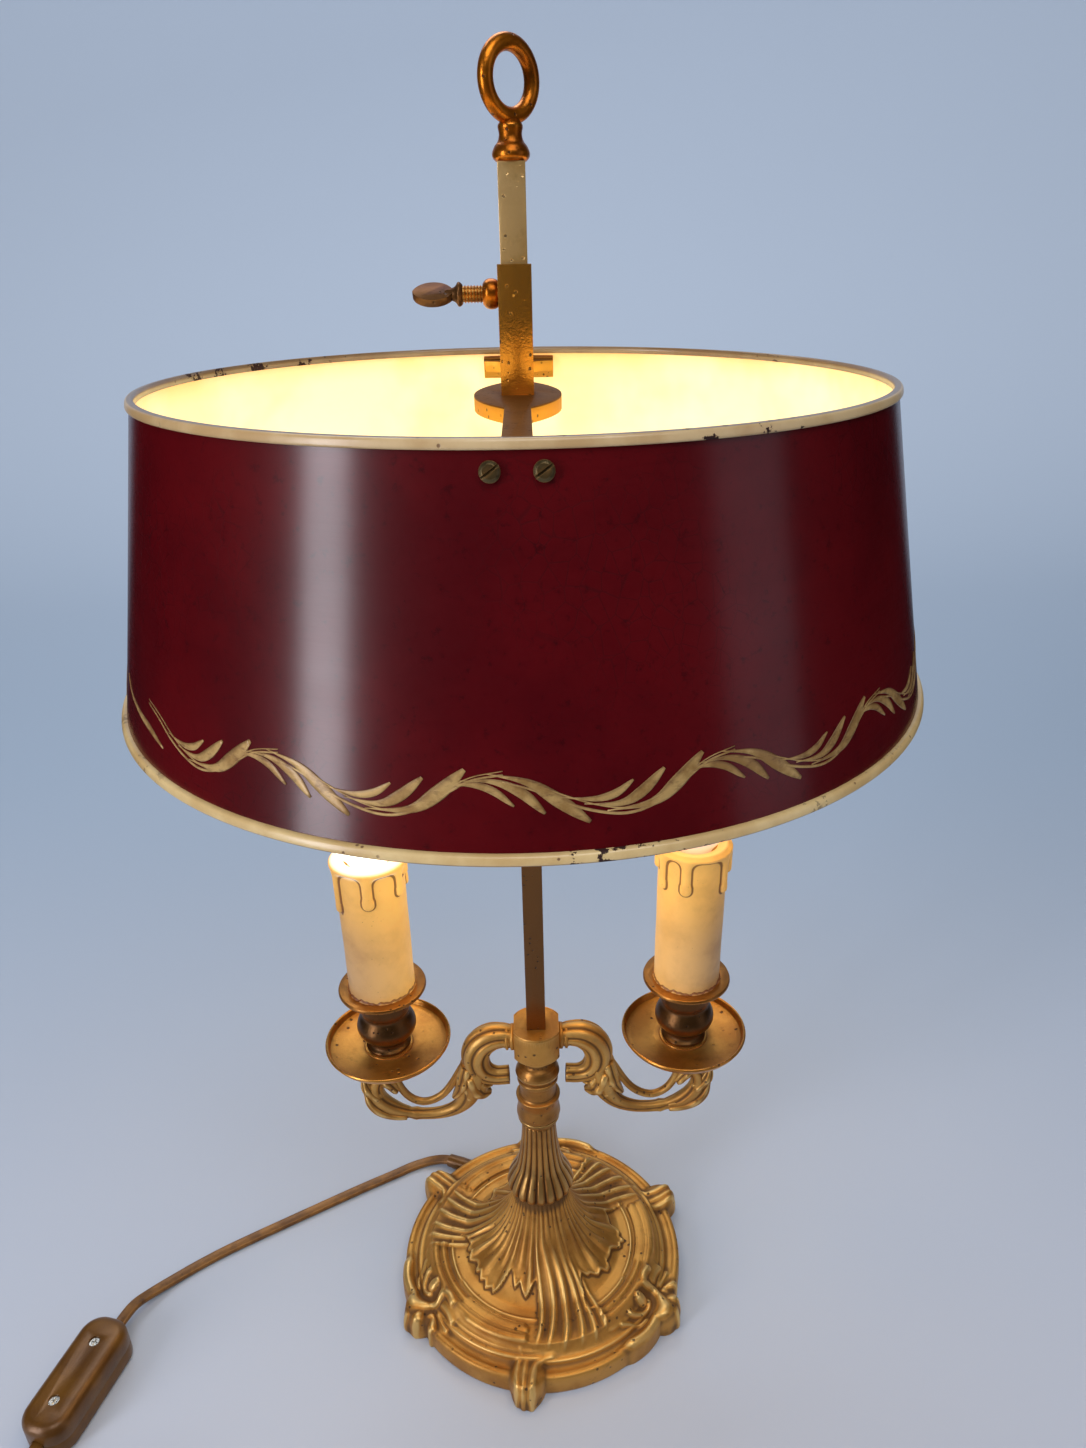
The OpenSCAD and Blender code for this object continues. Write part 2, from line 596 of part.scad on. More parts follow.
module candle_cup(side) {
    h = cup_h;
    color(bronze) at_light(side, cup_z) difference() {
        turned([[10.4, 0], [10.6, 1.4], [9, 2.8], [8.8, 4.6], [10.6, 6.6], [cup_bulge_r - 0.8, 9.4],
                [cup_bulge_r, 13], [cup_bulge_r - 1.2, 16.8], [11.2, 19.4], [11.2, 21],
                [11.8, 23], [12, h - 6.4], [13.4, h - 4], [cup_r - 1.4, h - 2.4],
                [cup_r, h - 1.4], [cup_r - 0.4, h]], nipple_r + nipple_gap, 3);
        translate([0, 0, h - 1.2]) cylinder(r = sleeve_r + 0.2, h = 2, $fn = 96);
        translate([0, 0, h - 12]) cylinder(r = 9.6, h = 13, $fn = 64);
    }
}
module lampholder(side) {
    color(black) at_light(side, holder_z) difference() {
        union() {
            cylinder(r = holder_r - 2, h = 6, $fn = 64);
            translate([0, 0, 6]) cylinder(r = holder_r, h = holder_h - 9, $fn = 64);
            translate([0, 0, holder_h - 3]) cylinder(r = holder_r + 0.8, h = 3, $fn = 64);
        }
        translate([0, 0, holder_h - cap_h - 1.6]) cylinder(r = cap_r + cap_gap, h = cap_h + 2, $fn = 64);
        translate([0, 0, -1]) cylinder(r = nipple_r + thread_gap, h = 5, $fn = 48);
    }
}
module candle_sleeve(side) {
    color(cream) at_light(side, sleeve_z) turned([
        [sleeve_r, 0], [sleeve_r, sleeve_h * 0.5], [sleeve_r, sleeve_h - 12],
        [sleeve_r + 0.4, sleeve_h - 6], [sleeve_r + 0.6, sleeve_h - 2],
        [sleeve_r - 0.2, sleeve_h]], sleeve_r - sleeve_t, 3);
}
module bulb_cap(side) {
    color(brass) at_light(side, bulb_z - cap_h) {
        translate([0, 0, 2]) cylinder(r = cap_r, h = cap_h - 2, $fn = 64);
        cylinder(r1 = 2.4, r2 = cap_r, h = 2, $fn = 64);
    }
}
module bulb_glass(side) {
    h = bulb_h;
    color(opal) at_light(side, bulb_z) turned([
        [cap_r, 0], [cap_r + 0.6, h * 0.05], [bulb_r * 0.72, h * 0.16], [bulb_r * 0.97, h * 0.28],
        [bulb_r, h * 0.36], [bulb_r * 0.9, h * 0.52], [bulb_r * 0.6, h * 0.72],
        [bulb_r * 0.33, h * 0.87], [bulb_r * 0.14, h * 0.97], [0, h]], 0);
}

// ---- shade ----
function wall_r(z) = shade_low_r + (shade_top_r - shade_low_r) * (z - wall_z0) / (wall_z1 - wall_z0);
module wall_outline(low, high, out = 0, in = 0) {
    polygon([[wall_r(low) - shade_t - in, low], [wall_r(low) + out, low],
             [wall_r(high) + out, high], [wall_r(high) - shade_t - in, high]]);
}
module at_foot(end) {
    // the seat of one bracket foot on the leaning wall: end is -1 in front and 1 behind
    z = plate_mid;
    rotate([0, 0, end > 0 ? 180 : 0]) translate([0, -wall_r(z), z]) rotate([90 - wall_tilt, 0, 0])
        children();
}
module screw_holes(r) {
    // tapped from outside through the wall, blind in the bracket's foot
    for (end = [-1, 1]) at_foot(end) for (x = [-1, 1])
        translate([x * screw_pitch / 2, 0, -foot_plate_t - 1])
            cylinder(r = r, h = foot_plate_t + 4, $fn = 32);
}
module shade_shell() {
    color(tole_red) difference() {
        rotate_extrude($fn = 128) wall_outline(wall_z0, wall_z1);
        screw_holes(screw_r + 0.1);
    }
}
module rim(z) {
    color(cream) rotate_extrude($fn = 128) difference() {
        translate([wall_r(z) - shade_t / 2, z]) circle(r = rim_bead_r, $fn = 32);
        wall_outline(wall_z0, wall_z1);
    }
}
// One quarter of the outline of the bracket, from the middle of its oval out to a foot
function bracket_quarter() =
    let (rad = (pow(bracket_oval_l / 2, 2) + pow(bracket_oval_w / 2, 2)) / bracket_oval_w,
         fillet = (foot_plate_w - strap_w) / 2 - 0.6,
         end_y = sqrt(rad * rad - pow(rad - bracket_oval_w / 2 + strap_w / 2, 2)),
         foot_y = wall_r(plate_mid) - foot_plate_t - shade_t - 1.4)
    concat([for (i = [0:8]) [sqrt(rad * rad - pow(end_y * i / 8, 2)) - rad + bracket_oval_w / 2,
                             end_y * i / 8]],
           [for (a = [0:15:90]) [strap_w / 2 + fillet * (1 - cos(a)), foot_y - fillet * (1 - sin(a))]],
           [[strap_w / 2 + fillet, foot_y + 12]]);
function reversed(p) = [for (i = [len(p) - 1:-1:0]) p[i]];
module bracket_outline() {
    q = bracket_quarter();
    right = concat(reversed([for (p = q) if (p[1] > 0) [p[0], -p[1]]]), q);
    polygon(concat(right, reversed([for (p = right) [-p[0], p[1]]])));
}
module bracket_solid() {
    translate([0, 0, bracket_top - bracket_t]) linear_extrude(bracket_t) bracket_outline();
    for (end = [-1, 1]) at_foot(end)
        translate([-foot_plate_w / 2, -foot_plate_h / 2, -foot_plate_t - shade_t - 0.3])
            cube([foot_plate_w, foot_plate_h, foot_plate_t + 5]);
}
module shade_bracket() {
    color(brass) difference() {
        intersection() {
            bracket_solid();
            rotate_extrude($fn = 128) polygon([
                [0, wall_z0], [wall_r(wall_z0) - shade_t - wall_gap, wall_z0],
                [wall_r(wall_z1) - shade_t - wall_gap, wall_z1], [0, wall_z1]]);
        }
        screw_holes(screw_r + thread_gap);
        translate([-slider_w / 2, -slider_w / 2, slider_z - 1])
            cube([slider_w, slider_w, bracket_t + 2]);
    }
}
module bracket_screws() {
    color(bronze) for (end = [-1, 1]) at_foot(end) for (x = [-1, 1])
        translate([x * screw_pitch / 2, 0, 0]) difference() {
            union() {
                translate([0, 0, -foot_plate_t - 0.6])
                    cylinder(r = screw_r, h = foot_plate_t + 0.8, $fn = 32);
                translate([0, 0, 0.05]) cylinder(r = screw_head_r, h = 1.1, $fn = 48);
                translate([0, 0, 1.15]) cylinder(r1 = screw_head_r, r2 = screw_head_r - 0.9,
                                                 h = 0.7, $fn = 48);
            }
            rotate([0, 0, 35]) translate([-4, -0.3, 1.1]) cube([8, 0.6, 2]);
        }
}
module slider_tube() {
    h = slider_h + bracket_t;
    color(brass) difference() {
        union() {
            translate([-slider_w / 2, -slider_w / 2, slider_z]) cube([slider_w, slider_w, h]);
            translate([-slider_w / 2 + 0.1, 0, thumb_z]) rotate([0, -90, 0]) turned([
                [boss_r - 1, 0], [boss_r - 0.3, 0.8], [boss_r, boss_len / 2],
                [boss_r - 0.4, boss_len - 1], [boss_r - 1.6, boss_len + 0.1]], 0);
        }
        translate([-slider_bore / 2, -slider_bore / 2, slider_z - 1])
            cube([slider_bore, slider_bore, h + 2]);
        translate([-rod_w / 2, 0, thumb_z]) rotate([0, -90, 0])
            cylinder(r = thumb_r + thread_gap, h = 20, $fn = 48);
    }
}

// ---- thumbscrew ----
module thumbscrew_shank() {
    tip = rod_w / 2 + 0.05;
    color(brass) translate([-tip, 0, thumb_z]) rotate([0, -90, 0])
        cylinder(r = thumb_r, h = collar_x - tip, $fn = 48);
}
module thumbscrew_paddle() {
    // collar, neck and a flat oval paddle, cut from the overlap of two discs
    rad = (pow(paddle_len / 2, 2) + pow(paddle_w / 2, 2)) / paddle_w;
    color(brass) translate([-collar_x - 0.02, 0, thumb_z]) rotate([0, -90, 0]) {
        turned([[3, 0], [3.75, 0.8], [3.75, 1.6], [2.6, 2.4], [2, 3.6], [1.6, 6]], 0, 3);
        rotate([0, 0, 62]) translate([0, 0, 3 + paddle_len / 2]) rotate([90, 0, 0])
            intersection() {
                cylinder(r = paddle_len / 2, h = paddle_t, center = true, $fn = 64);
                translate([rad - paddle_w / 2, 0, 0])
                    cylinder(r = rad, h = paddle_t, center = true, $fn = 96);
                translate([paddle_w / 2 - rad, 0, 0])
                    cylinder(r = rad, h = paddle_t, center = true, $fn = 96);
            }
    }
}

// ---- flex, switch and plug ----
module flat_flex(route) {
    // an oval section: wide across the table, low in height
    pts = [for (i = [0:len(route) - 1]) for (k = [0:11])
        let (t = along(route, i), out = unit(cross([0, 0, 1], t)), up = cross(t, out), q = 30 * k)
        route[i] + cos(q) * flex_w / 2 * out + sin(q) * flex_h / 2 * up];
    color(flex_brown) polyhedron(pts, skin_faces(len(route), 12), convexity = 4);
}
module cord_lamp_side() {
    flat_flex(smooth(lamp_route, 2));
}
module cord_tail() {
    flat_flex(smooth(tail_route, 2));
}
module cord_plug_lead() {
    flat_flex(smooth(lead_route, 2));
}
module cord_coil() {
    wide = coil_wide * flex_w;
    color(flex_brown) translate([coil_at[0], coil_at[1], 0.1])
        tube(coil_r + wide / 2, coil_r - wide / 2, coil_h);
}
// The switch as a rounded block, drawn in by i on every side
module switch_block(i = 0) {
    r = switch_w / 2 - 2;
    edge = 5;
    arc = [for (a = [0:18:90]) [r - edge + (edge - i) * cos(a), switch_h - edge + (edge - i) * sin(a)]];
    hull() for (x = [-1, 1]) for (y = [-1, 1])
        translate([x * (switch_l / 2 - r), y * (switch_w / 2 - r), 0])
            rotate_extrude($fn = 32)
                polygon(concat([[0, i], [r - i - 0.8, i], [r - i, i + 0.8]], arc, [[0, switch_h - i]]));
}
module flex_ways() {
    for (end = [-1, 1]) translate([end * switch_l / 2, 0, switch_split])
        rotate([0, 90, 0]) cylinder(r = flex_w / 2 + flex_gap, h = 10, center = true, $fn = 48);
}
module screw_posts() {
    for (end = [-1, 1]) translate([end * switch_screw_pitch / 2, 0, 0])
        cylinder(r = 4, h = switch_h, $fn = 32);
}
module switch_top_shell() {
    color(bronze) at_switch() difference() {
        switch_block();
        translate([-switch_l, -switch_w, -1]) cube([2 * switch_l, 2 * switch_w, switch_split + 1]);
        difference() {
            switch_block(switch_wall);
            screw_posts();
        }
        flex_ways();
        for (end = [-1, 1]) translate([end * switch_screw_pitch / 2, 0, 0]) {
            cylinder(r = 1.5, h = switch_h + 1, $fn = 32);
            translate([0, 0, switch_h - 2.4]) cylinder(r = 2.6, h = 3, $fn = 32);
        }
    }
}
module switch_bottom_shell() {
    bearing_y = rocker_w / 2 + 0.5;
    color(bronze) at_switch() difference() {
        union() {
            difference() {
                intersection() {
                    switch_block();
                    translate([-switch_l, -switch_w, -1])
                        cube([2 * switch_l, 2 * switch_w, switch_split + 1]);
                }
                difference() {
                    switch_block(switch_wall);
                    screw_posts();
                }
            }
            // bearings for the rocker's trunnions
            for (y = [-bearing_y - 2.2, bearing_y])
                translate([-3, y, switch_wall - 0.5]) cube([6, 2.2, 3.4]);
        }
        flex_ways();
        for (end = [-1, 1]) translate([end * switch_screw_pitch / 2, 0, 2.5])
            cylinder(r = 1.25, h = switch_h, $fn = 32);
        translate([-rocker_l / 2 - 0.4, -rocker_w / 2 - 0.4, -1])
            cube([rocker_l + 0.8, rocker_w + 0.8, 4]);
        translate([0, 0, rocker_z]) rotate([90, 0, 0])
            cylinder(r = 1.05, h = 2 * bearing_y + 8, center = true, $fn = 32);
    }
}
module switch_rocker() {
    // a rocker whose one end stands proud of the underside
    color(black) at_switch() translate([0, 0, rocker_z]) rotate([0, rocker_swing / 2, 0]) {
        translate([-rocker_l / 2, -rocker_w / 2, -rocker_z - 0.2])
            cube([rocker_l, rocker_w, rocker_z + 1.6]);
        rotate([90, 0, 0]) cylinder(r = 1, h = rocker_w + 5, center = true, $fn = 32);
    }
}
module switch_contacts() {
    // thin strips along both sides of the rocker, outside its bearings
    strip_l = 0.6 * switch_l;
    strip_w = 2.4;
    color(brass) at_switch() for (side = [-1, 1])
        translate([-strip_l / 2, side * (switch_w / 2 - switch_wall - strip_w / 2 - 0.95) - strip_w / 2,
                   switch_wall]) cube([strip_l, strip_w, 0.8]);
}
module switch_screws() {
    color(steel) at_switch() for (end = [-1, 1])
        translate([end * switch_screw_pitch / 2, 0, 0]) difference() {
            union() {
                translate([0, 0, 3]) cylinder(r = 1.2, h = switch_h - 5.4, $fn = 32);
                translate([0, 0, switch_h - 2.4]) cylinder(r = 2.5, h = 1.5, $fn = 48);
            }
            for (a = [0, 90]) rotate([0, 0, a]) translate([-1.6, -0.3, switch_h - 1.5])
                cube([3.2, 0.6, 1]);
        }
}
module plug_body() {
    color(black) translate(plug_at) {
        // tapered tail for the flex
        translate([-25, 0, 0]) rotate([0, 90, 0])
            cylinder(r1 = flex_w / 2 + 0.6, r2 = 5.2, h = 25.5, $fn = 48);
        rotate([90, 0, 90]) linear_extrude(plug_l) hull()
            for (x = [-1, 1]) translate([x * 9.6, 0]) circle(r = 7, $fn = 48);
    }
}
module plug_pins() {
    color(brass) for (y = [-1, 1])
        translate(plug_at + [plug_l, y * pin_pitch / 2, 0]) rotate([0, 90, 0]) {
            cylinder(r = 2, h = pin_l - 1, $fn = 48);
            translate([0, 0, pin_l - 1]) cylinder(r1 = 2, r2 = 1.2, h = 1, $fn = 48);
        }
}

base_casting();
base_felt();
cord_bushing();
terminal_block();
riser_wires();
tie_tube();
tie_washer();
tie_nut();
fluted_trumpet();
stem_barrel();
arm_hub();
main_rod();
ring_finial();
arm(-1);  // arm_left
arm(1);  // arm_right
nipple(-1);  // nipple_left
nipple(1);  // nipple_right
drip_pan(-1);  // drip_pan_left
drip_pan(1);  // drip_pan_right
candle_cup(-1);  // candle_cup_left
candle_cup(1);  // candle_cup_right
lampholder(-1);  // lampholder_left
lampholder(1);  // lampholder_right
candle_sleeve(-1);  // candle_sleeve_left
candle_sleeve(1);  // candle_sleeve_right
bulb_cap(-1);  // bulb_cap_left
bulb_cap(1);  // bulb_cap_right
bulb_glass(-1);  // bulb_glass_left
bulb_glass(1);  // bulb_glass_right
slider_tube();
shade_bracket();
shade_shell();
rim(wall_z1);  // top_rim
rim(wall_z0);  // bottom_rim
bracket_screws();
thumbscrew_shank();
thumbscrew_paddle();
cord_lamp_side();
switch_top_shell();
switch_bottom_shell();
switch_rocker();
switch_contacts();
switch_screws();
cord_tail();
cord_coil();
cord_plug_lead();
plug_body();
plug_pins();
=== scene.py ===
import math

import bmesh
import bpy
import numpy as np
from mathutils import Matrix, Vector


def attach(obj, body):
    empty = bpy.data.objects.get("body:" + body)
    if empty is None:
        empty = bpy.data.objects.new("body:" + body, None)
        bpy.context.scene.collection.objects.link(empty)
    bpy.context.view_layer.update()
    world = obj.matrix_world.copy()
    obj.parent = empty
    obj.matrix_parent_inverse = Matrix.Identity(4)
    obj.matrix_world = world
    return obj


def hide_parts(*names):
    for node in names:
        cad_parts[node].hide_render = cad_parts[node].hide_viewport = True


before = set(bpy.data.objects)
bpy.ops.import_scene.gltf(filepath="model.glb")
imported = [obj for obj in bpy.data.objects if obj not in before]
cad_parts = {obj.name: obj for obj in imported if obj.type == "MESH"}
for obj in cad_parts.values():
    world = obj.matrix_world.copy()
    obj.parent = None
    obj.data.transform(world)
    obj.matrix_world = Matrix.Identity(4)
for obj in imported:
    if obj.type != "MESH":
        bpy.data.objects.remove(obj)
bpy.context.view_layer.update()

scene = bpy.context.scene
mm = 0.001
candleAway = 71.5            # mm from the rod to the middle of each candle
hands = {"left": -1, "right": 1}
black = (0, 0, 0, 1)

# ---- camera ----
cameraSetup = {
    "place": (2.28, -380.33, 502.3),  # mm
    "heading": 1.448,                 # degrees to the right of +Y
    "dip": 27.025,                    # degrees below level
    "roll": -0.842,
    "lens": 25.22,
    "shift": (-0.00966, 0.0304),
}


def addCamera(setup):
    turn = Matrix.Identity(4)
    for angle, axis in ((-setup["heading"], "Z"), (90 - setup["dip"], "X"), (setup["roll"], "Z")):
        turn = turn @ Matrix.Rotation(math.radians(angle), 4, axis)
    data = bpy.data.cameras.new("camera")
    data.lens = setup["lens"]
    data.sensor_width = 36
    data.shift_x, data.shift_y = setup["shift"]
    data.clip_start = 0.01
    camera = bpy.data.objects.new("camera", data)
    camera.matrix_world = Matrix.Translation(Vector(setup["place"]) * mm) @ turn
    scene.collection.objects.link(camera)
    scene.camera = camera


addCamera(cameraSetup)


# ---- paint ----
def colour(red, green, blue):
    # 0 to 255 as on a screen, to the linear values that a socket takes
    parts = [v / 255 for v in (red, green, blue)]
    return tuple(v / 12.92 if v <= 0.04045 else ((v + 0.055) / 1.055) ** 2.4
                 for v in parts) + (1.0,)


def operator(operation, swap=False):
    return lambda self, other: self.math(operation, other, swap=swap)


class Wire:
    # an output socket that can stand in arithmetic
    __add__ = __radd__ = operator("ADD")
    __sub__ = operator("SUBTRACT")
    __rsub__ = operator("SUBTRACT", True)
    __mul__ = __rmul__ = operator("MULTIPLY")
    __pow__ = operator("POWER")
    __gt__ = operator("GREATER_THAN")

    def __init__(self, paint, socket):
        self.paint, self.socket = paint, socket

    def math(self, operation, *others, swap=False):
        terms = (*others, self) if swap else (self, *others)
        return self.paint.node("Math", {"operation": operation}, dict(enumerate(terms)))

    def above(self, low, high):
        # 0 under low, 1 over high, a soft step between
        return self.paint.node("MapRange", {"interpolation_type": "SMOOTHSTEP"},
                               {"Value": self, "From Min": low, "From Max": high})


class Nodes:
    # a node tree; a kind without its prefix is a shader node
    def __init__(self, tree):
        self.tree = tree

    def node(self, kind, settings=None, inputs=None, output=0):
        made = self.tree.nodes.new(kind if "Node" in kind else "ShaderNode" + kind)
        for key, value in (settings or {}).items():
            setattr(made, key, value)
        for key, value in (inputs or {}).items():
            self.feed(made.inputs[key], value)
        return Wire(self, made.outputs[output])

    def feed(self, socket, value):
        if isinstance(value, Wire):
            self.tree.links.new(value.socket, socket)
        else:
            socket.default_value = value


class Paint(Nodes):
    # the node tree of a material, or of a world if one is given
    def __init__(self, name, world=None):
        self.owner = world or bpy.data.materials.new(name)
        self.owner.use_nodes = True
        super().__init__(self.owner.node_tree)
        self.shader = self.tree.nodes["Background" if world else "Principled BSDF"]
        self.place = self.node("TexCoord", output="Generated" if world else "Object")

    def noise(self, scale, detail=4, rough=0.55, stretch=(1, 1, 1), shift=0.0):
        spot = self.node("Mapping", None, {"Vector": self.place, "Scale": stretch,
                                           "Location": (shift, shift, shift)})
        return self.node("TexNoise", None, {"Vector": spot, "Scale": scale, "Detail": detail,
                                            "Roughness": rough})

    def cells(self, scale, feature="F1", stretch=(1, 1, 1)):
        spot = self.node("Mapping", None, {"Vector": self.place, "Scale": stretch})
        return self.node("TexVoronoi", {"feature": feature}, {"Vector": spot, "Scale": scale})

    def axes(self):
        return [self.node("SeparateXYZ", None, {0: self.place}, output=k) for k in range(3)]

    def mix(self, share, low, high):
        return self.node("Mix", {"data_type": "RGBA"}, {0: share, 6: low, 7: high}, output=2)

    def attribute(self, name):
        return self.node("Attribute", {"attribute_name": name}, output=2)

    def bump(self, height, distance, strength=1.0):
        return self.node("Bump", None, {"Height": height, "Distance": distance,
                                        "Strength": strength})

    def done(self, **sockets):
        for name, value in sockets.items():
            self.feed(self.shader.inputs[name.replace("_", " ")], value)
        return self.owner


# ---- mesh helpers ----
def smoothLine(points, steps):
    # Catmull-Rom through the points
    p = np.array(points, float).reshape(len(points), -1)
    p = np.vstack([2 * p[0] - p[1], p, 2 * p[-1] - p[-2]])
    out = []
    for i in range(1, len(p) - 2):
        for k in range(steps):
            t = k / steps
            out.append(0.5 * (2 * p[i] + (p[i + 1] - p[i - 1]) * t
                              + (2 * p[i - 1] - 5 * p[i] + 4 * p[i + 1] - p[i + 2]) * t * t
                              + (3 * p[i] - p[i - 1] - 3 * p[i + 1] + p[i + 2]) * t ** 3))
    out.append(p[-2])
    return np.array(out)


def gridFaces(rings, sides, closed=False):
    # quads between rings of points; closed joins the last ring to the first
    i = np.arange(rings if closed else rings - 1)[:, None]
    k = np.arange(sides)[None, :]
    n, j = (k + 1) % sides, (i + 1) % rings
    return np.stack([i * sides + k, j * sides + k, j * sides + n, i * sides + n],
                    -1).reshape(-1, 4).tolist()


def cappedFaces(rings, sides):
    last = (rings - 1) * sides
    return gridFaces(rings, sides) + [list(range(sides))[::-1],
                                      [last + k for k in range(sides)]]


def edited(mesh, change):
    # run change on a mesh's edit form; its result, if any, is the relief of each point
    work = bmesh.new()
    work.from_mesh(mesh)
    relief = change(work)
    work.to_mesh(mesh)
    work.free()
    if relief is not None:
        storeRelief(mesh, relief)


def storeRelief(mesh, values):
    mesh.attributes.new("relief", "FLOAT", "POINT").data.foreach_set("value", values)


def outwardFaces(work):
    bmesh.ops.recalc_face_normals(work, faces=work.faces)


def shellMesh(name, shells):
    # shells: (points in mm, faces, relief or None), each closed on its own
    points, faces, relief = [], [], []
    for places, corners, given in shells:
        start = len(points)
        points += (places * mm).tolist()
        faces += [[start + v for v in face] for face in corners]
        relief += (np.zeros(len(places)) if given is None else given).tolist()
    mesh = bpy.data.meshes.new(name)
    mesh.from_pydata(points, [], faces)
    storeRelief(mesh, relief)
    edited(mesh, outwardFaces)
    mesh.shade_smooth()
    return mesh


def makePiece(name, shells, body, material, stands=(), sharp=None):
    mesh = shellMesh(name, shells)
    if sharp is not None:
        mesh.set_sharp_from_angle(angle=math.radians(sharp))
    dress(name, mesh, body, material, stands)


def dress(name, mesh, body, material, stands=()):
    piece = bpy.data.objects.new(name, mesh)
    mesh.materials.clear()
    mesh.materials.append(material)
    scene.collection.objects.link(piece)
    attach(piece, body)
    if stands:
        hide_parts(*stands)


def evaluated(raw, name):
    # the mesh that an object's modifiers give; the object goes
    depsgraph = bpy.context.evaluated_depsgraph_get()
    made = bpy.data.meshes.new_from_object(raw.evaluated_get(depsgraph))
    bpy.data.objects.remove(raw)
    made.name = name
    return made


def mergedFaces(work):
    bmesh.ops.remove_doubles(work, verts=work.verts, dist=1e-6)
    bmesh.ops.dissolve_limit(work, angle_limit=math.radians(0.5), verts=work.verts,
                             edges=work.edges)


def edgeRelief(work, gain=1.2, least=0.1):
    # bright on convex edges, dark in concave ones
    relief = []
    for vert in work.verts:
        turns = [edge.calc_face_angle_signed(0) for edge in vert.link_edges]
        relief.append(max(-1, min(1, gain * sum(a for a in turns if abs(a) > least) / 2)))
    return relief


def softened(node, name, body, material, bevel):
    # a copy of a CAD node with its hard edges eased
    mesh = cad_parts[node].data.copy()
    edited(mesh, mergedFaces)
    raw = bpy.data.objects.new(name + "Raw", mesh)
    scene.collection.objects.link(raw)
    ease = raw.modifiers.new("ease", "BEVEL")
    ease.width = bevel * mm
    ease.segments = 2
    ease.limit_method = "ANGLE"
    ease.angle_limit = math.radians(30)
    ease.miter_outer = "MITER_ARC"
    made = evaluated(raw, name)
    while made.attributes.get("custom_normal"):
        made.attributes.remove(made.attributes["custom_normal"])
    edited(made, edgeRelief)
    made.shade_smooth()
    made.set_sharp_from_angle(angle=math.radians(34))
    dress(name, made, body, material, (node,))


def sweep(path, radius, sides, profile, side, flat=1.0):
    # a closed rod along path; profile(q, t) scales the radius and gives the relief
    p, r = path, np.broadcast_to(np.ravel(radius), (len(path),))
    tangent = np.gradient(p, axis=0)
    tangent /= np.linalg.norm(tangent, axis=1)[:, None]
    up = np.cross(tangent, side)
    up /= np.linalg.norm(up, axis=1)[:, None]
    across = np.cross(up, tangent)
    q = np.linspace(0, 2 * np.pi, sides, endpoint=False)
    t = np.linspace(0, 1, len(p))
    scale = profile(q[None, :], t[:, None])
    rr = r[:, None] * scale
    points = (p[:, None] + (rr * np.cos(q))[..., None] * flat * across[:, None]
              + (rr * np.sin(q))[..., None] * up[:, None])
    middle = scale.mean(axis=1, keepdims=True)
    relief = np.clip((scale - middle) * 9, -1, 1)
    return points.reshape(-1, 3), cappedFaces(len(p), sides), relief.ravel()


def lathe(outline, sides, steps=3, centre=(0, 0), bore=None):
    # a turned solid; outline is a list of (radius, height) read upwards
    line = smoothLine(outline, steps) if steps > 1 else np.array(outline, float)
    q = np.linspace(0, 2 * np.pi, sides, endpoint=False)
    closed = bore is not None
    if closed:
        line = np.vstack([line, [bore, line[-1][1]], [bore, line[0][1]]])
    points = np.stack([centre[0] + line[:, :1] * np.cos(q), centre[1] + line[:, :1] * np.sin(q),
                       np.broadcast_to(line[:, 1:], (len(line), sides))], -1)
    faces = gridFaces(len(line), sides, True) if closed else cappedFaces(len(line), sides)
    return points.reshape(-1, 3), faces, None


def hollowShell(r, z, turn, inner, relief, x=0):
    # an outer skin of rings, closed by the inner ones; turn is in radians
    inner, sides = np.array(inner, float), r.shape[1]
    r = np.concatenate([r, np.repeat(inner[:, :1], sides, 1)])
    z = np.concatenate([z, np.repeat(inner[:, 1:], sides, 1)])
    relief = np.concatenate([np.clip(relief, -1, 1), np.zeros((len(inner), sides))])
    points = np.stack([x + r * np.cos(turn), r * np.sin(turn), z], -1)
    return points.reshape(-1, 3), gridFaces(len(r), sides, True), relief.ravel()


def softBump(x, low, high):
    # 0 to 1 between low and high
    t = np.clip((x - low) / (high - low), 0, 1)
    return t * t * (3 - 2 * t)


# ---- flex ----
flexSetup = {
    "width": 6.0,
    "height": 3.8,
    "waist": 0.42,
    "insideRoute": [(22, 10.4, 5.4), (22, 17, 5.4), (19, 28, 5.4), (9, 38, 5.4), (-6, 44.4, 5.5),
                    (-20, 50.8, 5.6), (-34.8, 57.7, 5.6), (-42.8, 61.4, 5.6)],
    "lampRoute": [(-43, 61.5, 5.6), (-51, 65.2, 5.6), (-56.2, 67.6, 5.4), (-61, 69.2, 4.4),
                  (-67, 69.8, 3), (-73, 68.8, 2.1), (-80, 66, 2), (-90, 60.6, 2),
                  (-104, 53.4, 2), (-122, 43.6, 2), (-141, 33, 2), (-160, 22.4, 2),
                  (-178, 12, 2), (-191, 3.4, 2), (-202, -5.4, 2.6), (-211, -14.6, 4.6),
                  (-216.5, -23, 7.4), (-219.3, -32, 9.1), (-221.8, -41, 9.2)],
    "tailRoute": [(-236.2, -91, 9.2), (-238.7, -99.8, 9.1), (-241.6, -109, 6.6),
                  (-243.8, -119, 3.4), (-244.8, -131, 2.1), (-245, -141, 2)],
    "leadRoute": [(-192, -197, 5.9), (-186, -197, 6.0), (-180, -197, 6.5), (-173.5, -197, 7.1),
                  (-167.1, -197, 7.2)],
    "coilMiddle": (-200, -152),
    "coilRadii": (45, 27),
    "coilLayers": (2.0, 5.9),
    "pointsPerTurn": 16,
    "colours": (colour(104, 66, 20), colour(134, 90, 34), colour(60, 36, 10)),
}


